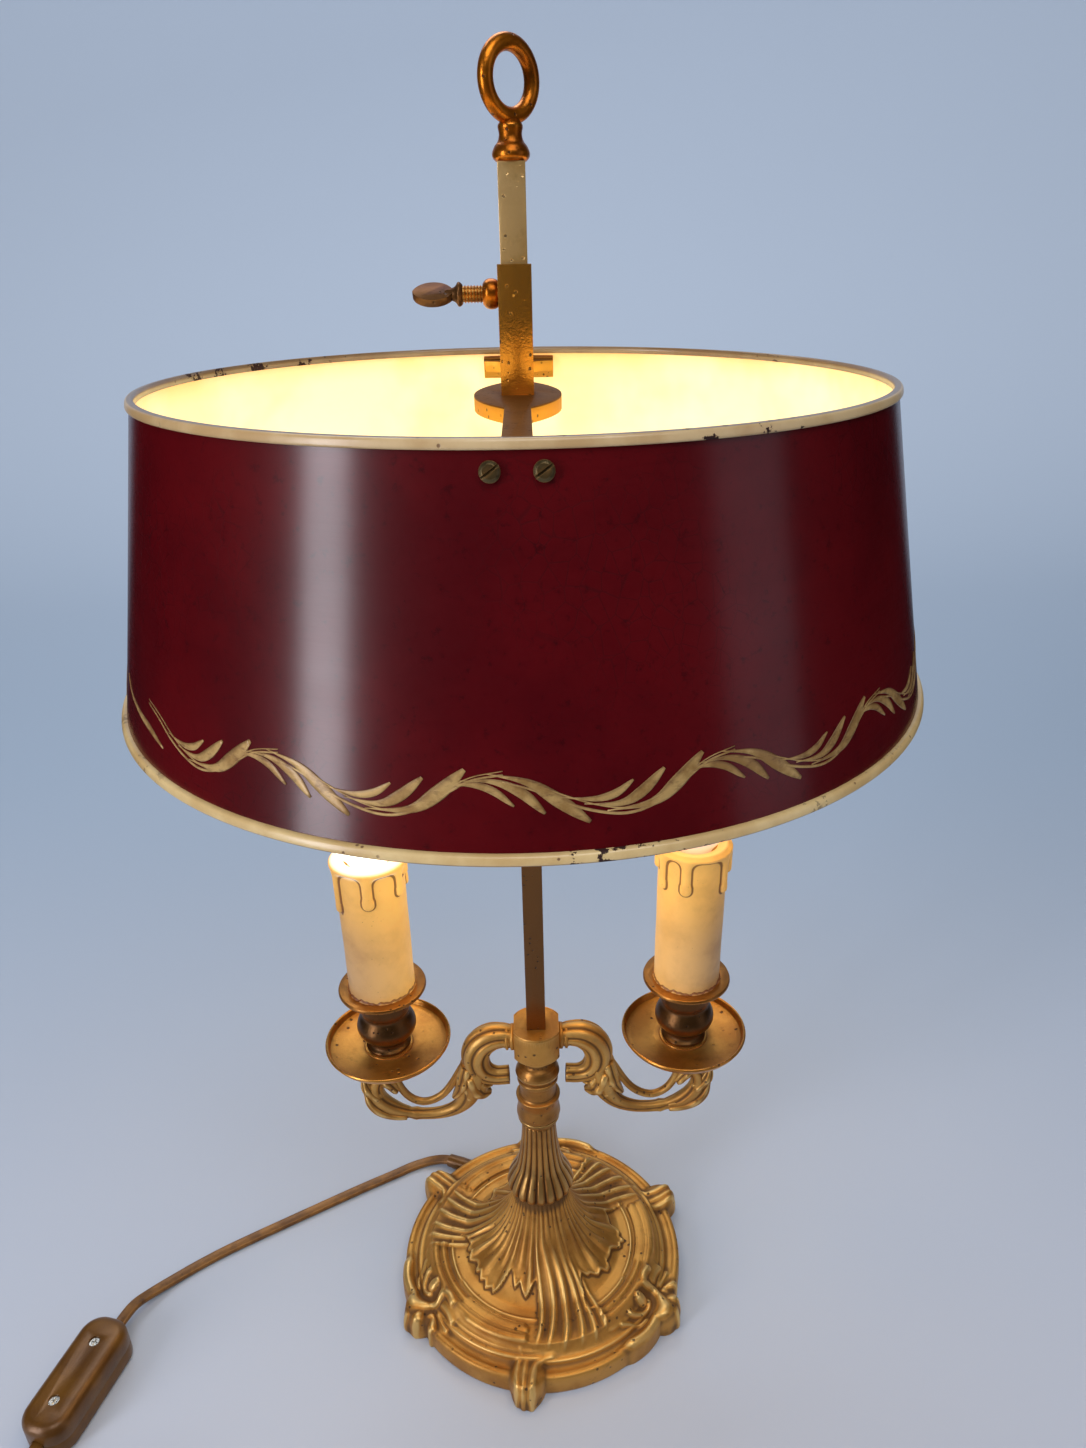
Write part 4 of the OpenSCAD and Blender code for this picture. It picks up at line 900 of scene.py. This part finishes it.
def waxPaint(name, setup, top, side, glow, hot, core):
    p = Paint(name)
    x, y, z = p.axes()
    low, high, dark = setup["wax"]
    shade = p.mix(z.above(0.21, 0.256), low, high)
    shade = p.mix(p.noise(60, 5, 0.6).above(0.4, 0.75) * 0.3, shade, dark)
    # painted shade along the edges of the drips, from the relief
    groove = (p.attribute("relief") * -1).above(0.15, 0.7)
    shade = p.mix(groove * 0.92, shade, dark)
    spot = (1 - p.cells(420).above(0.07, 0.13)) * p.noise(60, 2, shift=9.0).above(0.55, 0.65)
    shade = p.mix(spot * 0.7, shade, dark)
    # painted light: the resin glows at the top and on the side that faces the rod, as if lit by
    # the lamps and the shade
    across = x - candleAway * mm * side
    inner = (across * -side).above(-0.012, 0.018)
    lit = (inner * 0.55 + z.above(0.225, 0.264) * 0.35) * (1 - groove * 0.7) * glow
    # painted light: the wax round the bulb glows white-hot where the bulb's light falls
    core = 1 - ((across * across + y * y) ** 0.5).above(core, core + 0.0016)
    core = core * z.above(top * mm - 0.005, top * mm - 0.0015)
    warm = p.mix(lit, black, setup["glow"])
    return p.done(Base_Color=shade, Roughness=0.42 + p.noise(300, 3) * 0.2,
                  Emission_Color=p.mix(core, warm, hot), Emission_Strength=1.0,
                  Coat_Weight=0.12, Coat_Roughness=0.3,
                  Normal=p.bump(p.noise(240, 4) + spot * -0.4, 0.0003, 0.6))


def bulbShell(top, x, low):
    # pear-shaped glass that fills the opening of the candle
    return lathe([(6.9, low), (7.2, low + 3.6), (8.2, top - 3.8), (10.1, top - 0.4),
                  (13.6, top + 4.6), (16.6, top + 11), (17.5, 288), (15.8, 298.4),
                  (10.5, 311.4), (5.8, 322.6), (2.5, 330), (0.4, 332.1)], 96, 5, (x, 0))


def bulbPaint(name, tint, glow):
    p = Paint(name)
    low = 1 - p.axes()[2].above(0.262, 0.280)
    shade = p.mix(low * 0.6, tint, colour(236, 206, 170))
    return p.done(Base_Color=shade, Roughness=0.12 + p.noise(200, 2) * 0.05, Coat_Weight=0.6,
                  Coat_Roughness=0.05, Emission_Color=shade, Emission_Strength=glow,
                  Normal=p.bump(p.noise(90, 2), 0.0001, 0.3))


def addCandle(setup, word, side):
    top, x, end = setup["top"][word], candleAway * side, word.title()
    resin = waxPaint("candleResin" + end, setup, top, side, *setup["core"][word])
    makePiece("wax" + end, [candleShell(setup, x, top, setup["drips"][word])], "stand", resin,
              ("candle_sleeve_" + word,))
    glass = bulbPaint("opalGlass" + end, *setup["bulbs"][word])
    makePiece("bulb" + end, [bulbShell(top, x, setup["bulbFoot"])], "stand", glass,
              ("bulb_glass_" + word,))


for word, side in hands.items():
    addCandle(candleSetup, word, side)


# ---- shade ----
shadeSetup = {
    "low": (357.7, 149.0),     # height and outer radius at the bottom edge
    "high": (461.8, 128.5),
    "wall": 0.9,
    "lacquer": (colour(86, 3, 9), colour(72, 1, 7), colour(38, 0, 4)),
    "inside": (colour(250, 236, 196), colour(244, 214, 150)),
    "glow": 0.8,
    # painted light on the inside: its tone away from the bulbs, near them and at the top edge,
    # then their height
    "warm": (colour(250, 226, 150), colour(255, 250, 226), colour(244, 160, 60)),
    "bulbHeight": 0.33,
    "gold": (colour(196, 160, 98), colour(156, 118, 62), colour(92, 52, 26)),
    "places": 14,
    "motifs": 13,          # one place stays free at the seam
    "start": 229.0,
    # one motif of the garland: degrees along the shade, height, then the widest half-width
    "vine": [(-12.9, 378.4), (-9.6, 376), (-6.5, 372.4), (-3.3, 369.5), (0, 368), (3, 369.4),
             (6.2, 373.8), (9.4, 378.6), (12.9, 380.3)],
    "twin": [(-12.9, 379.6), (-9.4, 377.4), (-6.0, 373.8), (-2.8, 370.9), (0.3, 369.5),
             (3.4, 371.4), (6.6, 375.8), (9.6, 379.6), (12.9, 381.3)],
    "leaves": [
        ([(-7.0, 373.9), (-4.6, 373.0), (-2.6, 372.8), (-0.8, 374), (0.9, 376.9)], 1.05),
        ([(-4.4, 371.6), (-0.6, 370.9), (1.8, 373.4), (4.4, 379)], 1.5),
        ([(-2.0, 369.2), (2.9, 370.1), (5.8, 374.5), (8.9, 381.6)], 1.95),
        ([(5.6, 375.6), (8.8, 377.7), (11.6, 376.3), (14.0, 371.8)], 1.0),
        ([(8.4, 378.6), (12.0, 378.4), (14.9, 375.2), (17.2, 369.6)], 1.35),
        ([(11.2, 380.6), (15.4, 378.2), (18.6, 373.0), (21.9, 366.6)], 1.75),
    ],
    "firstLeaf": ([(-24.8, 378.4), (-21.8, 374.6), (-16.8, 372), (-12.6, 370.4),
                   (-8.4, 367.5)], 1.1),
    "paintThick": 0.14,
}


def wallRadius(z):
    (z0, r0), (z1, r1) = shadeSetup["low"], shadeSetup["high"]
    return r0 + (r1 - r0) * (z - z0) / (z1 - z0)


def wallLean():
    (z0, r0), (z1, r1) = shadeSetup["low"], shadeSetup["high"]
    return math.atan((r0 - r1) / (z1 - z0))


def tolePaint(setup):
    p = Paint("burgundyTole")
    x, y, z = p.axes()
    (z0, r0), (z1, r1) = setup["low"], setup["high"]
    slope = (r1 - r0) / (z1 - z0)
    out = (x * x + y * y) ** 0.5 - (r0 * mm - setup["wall"] / 2 * mm + (z - z0 * mm) * slope)
    outside = out > 0
    red, deep, dark = setup["lacquer"]
    shade = p.mix(p.noise(16, 5, 0.6).above(0.35, 0.65), deep, red)
    shade = p.mix(p.noise(320, 4, 0.7, shift=2.2).above(0.56, 0.72) * 0.5, shade, dark)
    crack = 1 - p.cells(210, "DISTANCE_TO_EDGE", (1, 1, 0.8)).above(0.0, 0.035)
    crack = crack * p.noise(11, 3, shift=5.1).above(0.42, 0.6)
    shade = p.mix(crack * 0.35, shade, dark)
    cream = p.mix(p.noise(20, 3).above(0.4, 0.7), *setup["inside"])
    # painted light: the inside glows, brightest where it faces the bulbs and more orange at the
    # top edge away from them
    across = x.math("ABSOLUTE") - candleAway * mm
    near = (across ** 2 + y * y * 0.6 + (z - setup["bulbHeight"]) ** 2) ** 0.5
    lit = 1 - near.above(0.06, 0.17)
    away, close, topEdge = setup["warm"]
    warm = p.mix(lit, away, close)
    warm = p.mix(z.above(0.450, 0.4618) * (1 - lit) * 0.9, warm, topEdge)
    ripple = p.noise(22, 3, 0.5, (1, 1, 3), 3.0)
    brushed = p.noise(36, 3, 0.6, (1, 1, 16), 6.2)
    grain = p.noise(520, 3, 0.6)
    return p.done(Base_Color=p.mix(outside, cream, shade),
                  Roughness=0.34 + grain * 0.16 + crack * 0.15, Specular_IOR_Level=0.06,
                  Coat_Weight=outside * (0.62 + ripple * 0.3), Coat_Roughness=0.2,
                  Emission_Color=p.mix(outside, warm, black), Emission_Strength=setup["glow"],
                  Normal=p.bump(ripple * 1.3 + brushed * 0.4 + grain * 0.12 - crack * 0.12,
                                0.0006, 0.5))


def goldPaint(setup):
    p = Paint("paintedGold")
    light, mid, dark = setup["gold"]
    shade = p.mix(p.noise(110, 5, 0.65).above(0.36, 0.62), mid, light)
    brush = p.noise(240, 4, 0.6, (1, 1, 2.4), 1.3)
    shade = p.mix(brush.above(0.52, 0.72) * 0.55, shade, dark)
    # painted shade on one side of each stroke, from the relief
    shade = p.mix((p.attribute("relief") * -1).above(0.1, 0.9) * 0.55, shade, dark)
    return p.done(Base_Color=shade, Metallic=0.3, Roughness=0.42 + brush * 0.2, Coat_Weight=0.35,
                  Coat_Roughness=0.18, Normal=p.bump(brush, 0.0002, 0.6))


def brushStroke(path, half, thick, vine=False):
    # a thin raised stroke of gold that follows the cone of the shade
    line = smoothLine(path, 6)
    turn, z = np.radians(270 + line[:, 0]), line[:, 1]
    r = wallRadius(z)
    p = np.stack([r * np.cos(turn), r * np.sin(turn), z], -1)
    lean = wallLean()
    out = np.stack([np.cos(turn) * math.cos(lean), np.sin(turn) * math.cos(lean),
                    np.full(len(z), math.sin(lean))], -1)
    along = np.gradient(p, axis=0)
    along /= np.linalg.norm(along, axis=1)[:, None]
    across = np.cross(along, out)
    t = np.linspace(0, 1, len(p))
    if vine:
        width = half * (0.7 + 0.4 * np.sin(np.pi * t))
    else:
        width = half * (0.1 + np.sin(0.93 * np.pi * t ** 1.6))
    q = np.linspace(0, 2 * np.pi, 10, endpoint=False)
    rings = (p[:, None] + across[:, None] * (width[:, None] * np.cos(q))[..., None]
             + out[:, None] * (0.02 + thick * np.sin(q))[None, :, None])
    # relief across each stroke, -1 on one side, for the painted shade of the paint
    side = np.tile(np.cos(q), len(p))
    return rings.reshape(-1, 3), cappedFaces(len(p), len(q)), side


def addGarland(setup, material):
    # one motif is a mesh; a node tree sets it round the shade
    thick = setup["paintThick"]
    shells = [brushStroke(setup["vine"], 0.4, thick, True),
              brushStroke(setup["twin"], 0.22, thick, True)]
    shells += [brushStroke(path, half, thick) for path, half in setup["leaves"]]
    motif = bpy.data.objects.new("motif", shellMesh("motif", shells))

    tree = bpy.data.node_groups.new("roundTheShade", "GeometryNodeTree")
    face = tree.interface
    face.new_socket("Geometry", in_out="OUTPUT", socket_type="NodeSocketGeometry")
    values = {"Motifs": ("Int", setup["motifs"]), "Places": ("Int", setup["places"]),
              "Start": ("Float", math.radians(setup["start"] - 270)),
              "Motif": ("Object", motif), "Paint": ("Material", material)}
    sockets = {name: face.new_socket(name, in_out="INPUT", socket_type="NodeSocket" + kind)
               for name, (kind, _) in values.items()}

    g = Nodes(tree)
    given = {name: g.node("NodeGroupInput", output=name) for name in values}
    spots = g.node("GeometryNodeMeshLine", None, {"Count": given["Motifs"], "Offset": (0, 0, 0)})
    step = given["Places"].math("DIVIDE", 2 * math.pi, swap=True)
    turn = g.node("GeometryNodeInputIndex").math("MULTIPLY_ADD", step, given["Start"])
    angle = g.node("CombineXYZ", None, {"Z": turn})
    info = g.node("GeometryNodeObjectInfo", None, {"Object": given["Motif"]}, "Geometry")
    placed = g.node("GeometryNodeInstanceOnPoints", None,
                    {"Points": spots, "Instance": info, "Rotation": angle})
    real = g.node("GeometryNodeRealizeInstances", None, {"Geometry": placed})
    dressed = g.node("GeometryNodeSetMaterial", None,
                     {"Geometry": real, "Material": given["Paint"]})
    tree.links.new(dressed.socket, tree.nodes.new("NodeGroupOutput").inputs[0])

    holder = bpy.data.objects.new("garlandRaw", bpy.data.meshes.new("garlandRaw"))
    scene.collection.objects.link(holder)
    scene.collection.objects.link(motif)
    modifier = holder.modifiers.new("round", "NODES")
    modifier.node_group = tree
    for name, (_, value) in values.items():
        modifier[sockets[name].identifier] = value
    holder.update_tag()
    made = evaluated(holder, "garland")
    bpy.data.objects.remove(motif)
    dress("garland", made, "shade", material)
    path, half = setup["firstLeaf"]
    turned = [(a + setup["start"] - 270, z) for a, z in path]
    makePiece("firstLeaf", [brushStroke(turned, half, thick)], "shade", material)


def creamPaint(name, light, warm, chips=0.0, worn=None):
    p = Paint(name)
    shade = p.mix(p.noise(40, 5, 0.6).above(0.35, 0.65), warm, light)
    # paint chipped off, mostly from the edges, down to the dark ground
    edge = p.attribute("relief")
    chip = p.noise(110, 6, 0.7, shift=2.6) + edge * (0.05 + chips)
    patch = p.noise(9, 3, shift=6.0).above(0.5 - chips, 0.6 - chips)
    if worn:
        # most of the chips lie round one place
        x, y, _ = p.axes()
        x, y = x - worn[0], y - worn[1]
        near = 1 - (x * x + y * y).above(0.0002, 0.0007)
        chip, patch = chip + near * 0.055, patch * 0.4 + near
    chip = (chip.above(0.635, 0.655) * patch).above(0.3, 0.5)
    shade = p.mix(edge.above(0.75, 1.0) * 0.7, shade, colour(84, 50, 28))
    speck = (1 - p.cells(260).above(0.1, 0.16)) * p.noise(30, 2, shift=8.0).above(0.5, 0.62)
    shade = p.mix(chip, shade, colour(50, 18, 12))
    shade = p.mix(speck * 0.8, shade, colour(90, 52, 30))
    return p.done(Base_Color=shade, Roughness=0.3 + chip * 0.4, Coat_Weight=0.3 - chip * 0.3,
                  Coat_Roughness=0.2,
                  Normal=p.bump(p.noise(300, 3) * 0.3 - chip - speck * 0.6, 0.0003, 0.7))


tole = tolePaint(shadeSetup)
cream = creamPaint("creamEnamel", colour(220, 192, 136), colour(198, 164, 108), 0.05,
                   (0.033, -0.147))
creamTop = creamPaint("creamEnamelTop", colour(206, 178, 132), colour(186, 152, 104))
addGarland(shadeSetup, goldPaint(shadeSetup))

# painted bands rolled over the edges of the shade: low, high, bulge, then how worn it is
# at the lower edge, the middle and the upper edge
bandSetup = {
    "top_rim": ("topBand", 459.95, 462.75, 1.3, (0.8, 0.1, 1.0), creamTop),
    "bottom_rim": ("bottomBand", 355.5, 358.8, 1.75, (1.3, 0.35, 0.8), cream),
}


def rimBand(low, high, bulge, worn, sides=360):
    a = np.radians(np.linspace(-88, 88, 17))
    up = np.sign(a) * np.abs(np.sin(a)) ** 0.7
    z = (low + high) / 2 + (high - low) / 2 * up
    r = wallRadius(z) + bulge * np.cos(a) ** 0.6
    inside = wallRadius(high) - shadeSetup["wall"] - 0.25
    points, faces, _ = lathe(np.stack([r, z], -1), sides, 1, bore=inside)
    rings = np.append(np.interp(up, (-1, -0.2, 0.6, 1), (worn[0], worn[1], worn[1], worn[2])),
                      [worn[2], worn[0]])
    return points, faces, np.repeat(rings, sides)


for node, (name, low, high, bulge, worn, material) in bandSetup.items():
    makePiece(name, [rimBand(low, high, bulge, worn)], "shade", material,
              (node,))
print("candles and shade")


# ---- plain finishes ----
def plainPaint(name, light, dark, rough, scale=80, metal=0.0, grain=500, depth=0.0002, coat=0.0):
    p = Paint(name)
    cloud = p.noise(scale, 5, 0.6)
    fine = p.noise(grain, 3, 0.6, shift=2.0)
    shade = p.mix(cloud.above(0.35, 0.65), dark, light)
    return p.done(Base_Color=shade, Metallic=metal, Roughness=rough + fine * 0.15,
                  Coat_Weight=coat, Coat_Roughness=0.2, Normal=p.bump(fine, depth, 0.5))


# crests of the thumbscrew's thread: radii, count, pitch, first place along the screw, height
threadSetup = {"core": 2.3, "crest": 2.85, "count": 6, "pitch": 1.05, "from": -11.6,
               "height": 489.5}


def threadShells(setup):
    shells = []
    for k in range(setup["count"]):
        ring, faces, _ = lathe([(setup["core"], -0.34), (setup["crest"], -0.06),
                                (setup["crest"], 0.06), (setup["core"], 0.34)], 40, 1)
        along = setup["from"] - setup["pitch"] * k - ring[:, 2]
        shells.append((np.stack([along, ring[:, 1], setup["height"] + ring[:, 0]], -1), faces,
                       None))
    return shells


makePiece("threadCrests", threadShells(threadSetup), "screw_shank", redBrass,
          (), 40)


# painted shade: the rod turns dark brown below the shade, as if the shade shadowed it
rodBrass = metalPaint("rodBrass", brassSetup, light=(212, 188, 142), mid=(178, 150, 102),
                      metal=0.72, low=((108, 72, 34), 0.33, 0.46))
dull = (0.5, 0.34, 0.2, 1)      # tint of what is mirrored at a glancing angle
paddleBrass = metalPaint("paddleBrass", brassSetup, light=(92, 62, 34), mid=(70, 44, 22),
                         dark=(40, 24, 10), crest=(136, 96, 60), metal=0.6, edge=dull)
# the bracket is dull on top and bright below, where the lamps light it
bracketBrass = metalPaint("bracketBrass", brassSetup, light=(116, 76, 32), mid=(96, 60, 24),
                          crest=(170, 116, 56), metal=0.65, rough=0.4, edge=dull,
                          low=((246, 176, 66), 0.4568, 0.4572))
screwBronze = metalPaint("screwBronze", bronzeSetup, light=(98, 84, 54), mid=(70, 58, 36),
                         metal=0.75)
brownPlastic = plainPaint("brownPlastic", colour(112, 74, 22), colour(92, 58, 16), 0.3, 60,
                          0.35, 900, 0.00012, 0.08)
blackPlastic = plainPaint("blackPlastic", colour(40, 36, 34), colour(26, 24, 22), 0.45)
ivoryPlastic = plainPaint("ivoryPlastic", colour(232, 222, 198), colour(214, 200, 170), 0.5)
felt = plainPaint("greenFelt", colour(64, 78, 56), colour(44, 56, 40), 0.85, 200, 0, 1400,
                  0.0006)
steel = plainPaint("zincSteel", colour(190, 190, 186), colour(150, 150, 146), 0.28, 120, 0.95)
screwSteel = plainPaint("screwSteel", colour(214, 214, 210), colour(170, 170, 166), 0.2, 300,
                        0.95)

# ---- CAD pieces: eased copies and finishes ----
# node: name, body, material, slot, width of the eased edge in mm
eased = {
    "main_rod": ("rod", "stand", rodBrass, "aged_brass", 0.35),
    "slider_tube": ("slider", "shade", redBrass, "aged_brass", 0.3),
    "shade_bracket": ("bracket", "shade", bracketBrass, "aged_brass", 0.5),
    "arm_hub": ("hub", "stand", gilt, "gilt_bronze", 0.45),
    "stem_barrel": ("barrel", "stand", stemGilt, "gilt_bronze", 0.1),
    "ring_finial": ("finial", "stand", redBrass, "aged_brass", 0.15),
    "drip_pan_left": ("panLeft", "stand", panGilt, "gilt_bronze", 0.2),
    "drip_pan_right": ("panRight", "stand", panGilt, "gilt_bronze", 0.2),
    "candle_cup_left": ("cupLeft", "stand", cupBronze, "aged_brass", 0.2),
    "candle_cup_right": ("cupRight", "stand", cupBronze, "aged_brass", 0.2),
    "thumbscrew_paddle": ("paddle", "screw_paddle", paddleBrass, "aged_brass", 0.5),
    "bracket_screws": ("shadeScrews", "shade", screwBronze, "aged_brass", 0.12),
    "switch_top_shell": ("switchTop", "stand", brownPlastic, "brown_plastic", 0.35),
    "switch_bottom_shell": ("switchBottom", "stand", brownPlastic, "brown_plastic", 0.25),
}
for node, (name, body, material, slot, width) in eased.items():
    softened(node, name, body, material, width)

finishes = [
    (brownPlastic, "cord_bushing"), (felt, "base_felt"), (tole, "shade_shell"),
    (ivoryPlastic, "terminal_block riser_wires lampholder_left lampholder_right"),
    (steel, "tie_tube tie_washer tie_nut nipple_left nipple_right"),
    (brass, "bulb_cap_left bulb_cap_right thumbscrew_shank switch_contacts plug_pins"),
    (blackPlastic, "switch_rocker plug_body"), (screwSteel, "switch_screws"),
]
for material, nodes in finishes:
    for node in nodes.split():
        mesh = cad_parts[node].data
        mesh.materials.clear()
        mesh.materials.append(material)
print("finishes")


# ---- room: floor, backdrop, light ----
roomSetup = {
    "floor": (colour(185, 192, 206), colour(170, 187, 207)),     # near, far
    "wall": colour(186, 198, 215),
    "lift": colour(104, 113, 124),           # added to the wall where only the camera looks
    "soft": colour(236, 240, 248),         # light from all round
    "softStrength": 0.4,
    "front": colour(22, 23, 26),           # what metal and lacquer mirror from the front
    "back": colour(225, 230, 240),
    # soft lights: place, aim, width, height, power, tint
    "lights": [((-1.17, -0.95, 0.47), (0, 0, 0.4), 0.32, 1.5, 15, (0.94, 0.93, 1.0)),
               ((1.35, -0.7, 0.6), (0, 0, 0.4), 0.6, 1.2, 1.2, (0.92, 0.86, 1.0)),
               ((0.25, -0.95, 1.9), (0, 0, 0.2), 1.3, 0.9, 13, (1.0, 1.0, 1.0)),
               ((-0.3, 1.0, 1.8), (0, 0, 0.3), 1.2, 0.7, 9, (1.0, 1.0, 1.0))],
    # warm light thrown down over each candle: distance from the rod, height, radius, power
    "warm": (candleAway * mm, 0.352, 0.048, 0.15, colour(255, 206, 140)[:3]),
    "floorEnds": (-2.4, 1.2), "bend": 1.2, "top": 4.0, "halfWidth": 3.5,     # metres
}


def addRoom(setup):
    # a floor that sweeps up into the backdrop
    (front, back), bend, half = setup["floorEnds"], setup["bend"], setup["halfWidth"]
    line = [(front, 0), (front / 2, 0), (0, 0), (back, 0)]
    line += [(back + bend * math.sin(a), bend - bend * math.cos(a))
             for a in np.linspace(0.1, math.pi / 2, 14)]
    line += [(back + bend, setup["top"] / 2), (back + bend, setup["top"])]
    points = [(x, y, z) for y, z in line for x in (-half, half)]
    faces = [(2 * k, 2 * k + 1, 2 * k + 3, 2 * k + 2) for k in range(len(points) // 2 - 1)]
    mesh = bpy.data.meshes.new("backdrop")
    mesh.from_pydata(points, [], faces)
    mesh.shade_smooth()
    room = bpy.data.objects.new("backdrop", mesh)
    scene.collection.objects.link(room)
    p = Paint("paleBackdrop")
    x, y, z = p.axes()
    mirrored = p.node("LightPath", output="Is Glossy Ray")
    seen = p.node("LightPath", output="Is Camera Ray") + mirrored
    # metal and lacquer mirror a dark room in front and beside the lamp
    beside = 1 - (y - x.math("ABSOLUTE") * 1.1).above(0.0, 0.5)
    dim = mirrored * beside * ((x * x + y * y) ** 0.5).above(0.5, 0.9)
    near = p.mix(y.above(-0.25, 0.7), *setup["floor"])
    tone = p.mix(dim, p.mix(y.above(0.8, 2.2), near, setup["wall"]), setup["front"])
    mesh.materials.append(p.done(Base_Color=tone, Roughness=0.85, Specular_IOR_Level=0.1,
                                 Emission_Color=p.mix(y.above(0.3, 2.2) * seen * (1 - dim),
                                                      black, setup["lift"]),
                                 Emission_Strength=1.0))

    sky = Paint("softRoom", bpy.data.worlds.new("softRoom"))
    mirrored = sky.node("LightPath", output="Is Glossy Ray")
    around = sky.mix(sky.axes()[1].above(0.55, 0.85), setup["front"], setup["back"])
    scene.world = sky.done(Color=sky.mix(mirrored, setup["soft"], around),
                           Strength=setup["softStrength"])

    def addLight(name, place, width, power, tint, aim=None, height=None):
        # a rectangle if height is given, otherwise a disc that faces down
        data = bpy.data.lights.new(name, "AREA")
        data.shape = "RECTANGLE" if height else "DISK"
        data.size, data.size_y, data.energy, data.color = width, height or width, power, tint
        lamp = bpy.data.objects.new(name, data)
        lamp.location = place
        if aim:
            lamp.rotation_euler = (Vector(aim) - Vector(place)).to_track_quat("-Z", "Y").to_euler()
        scene.collection.objects.link(lamp)
        return lamp

    for k, (place, aim, width, height, power, tint) in enumerate(setup["lights"]):
        addLight("softLight%d" % k, place, width, power, tint, aim, height)
    away, above, radius, power, tint = setup["warm"]
    for word, side in hands.items():
        lamp = addLight("warm" + word.title(), (away * side, 0, above), radius * 2, power, tint)
        lamp.visible_camera = False


addRoom(roomSetup)
scene.view_settings.view_transform = "Standard"
print("room")
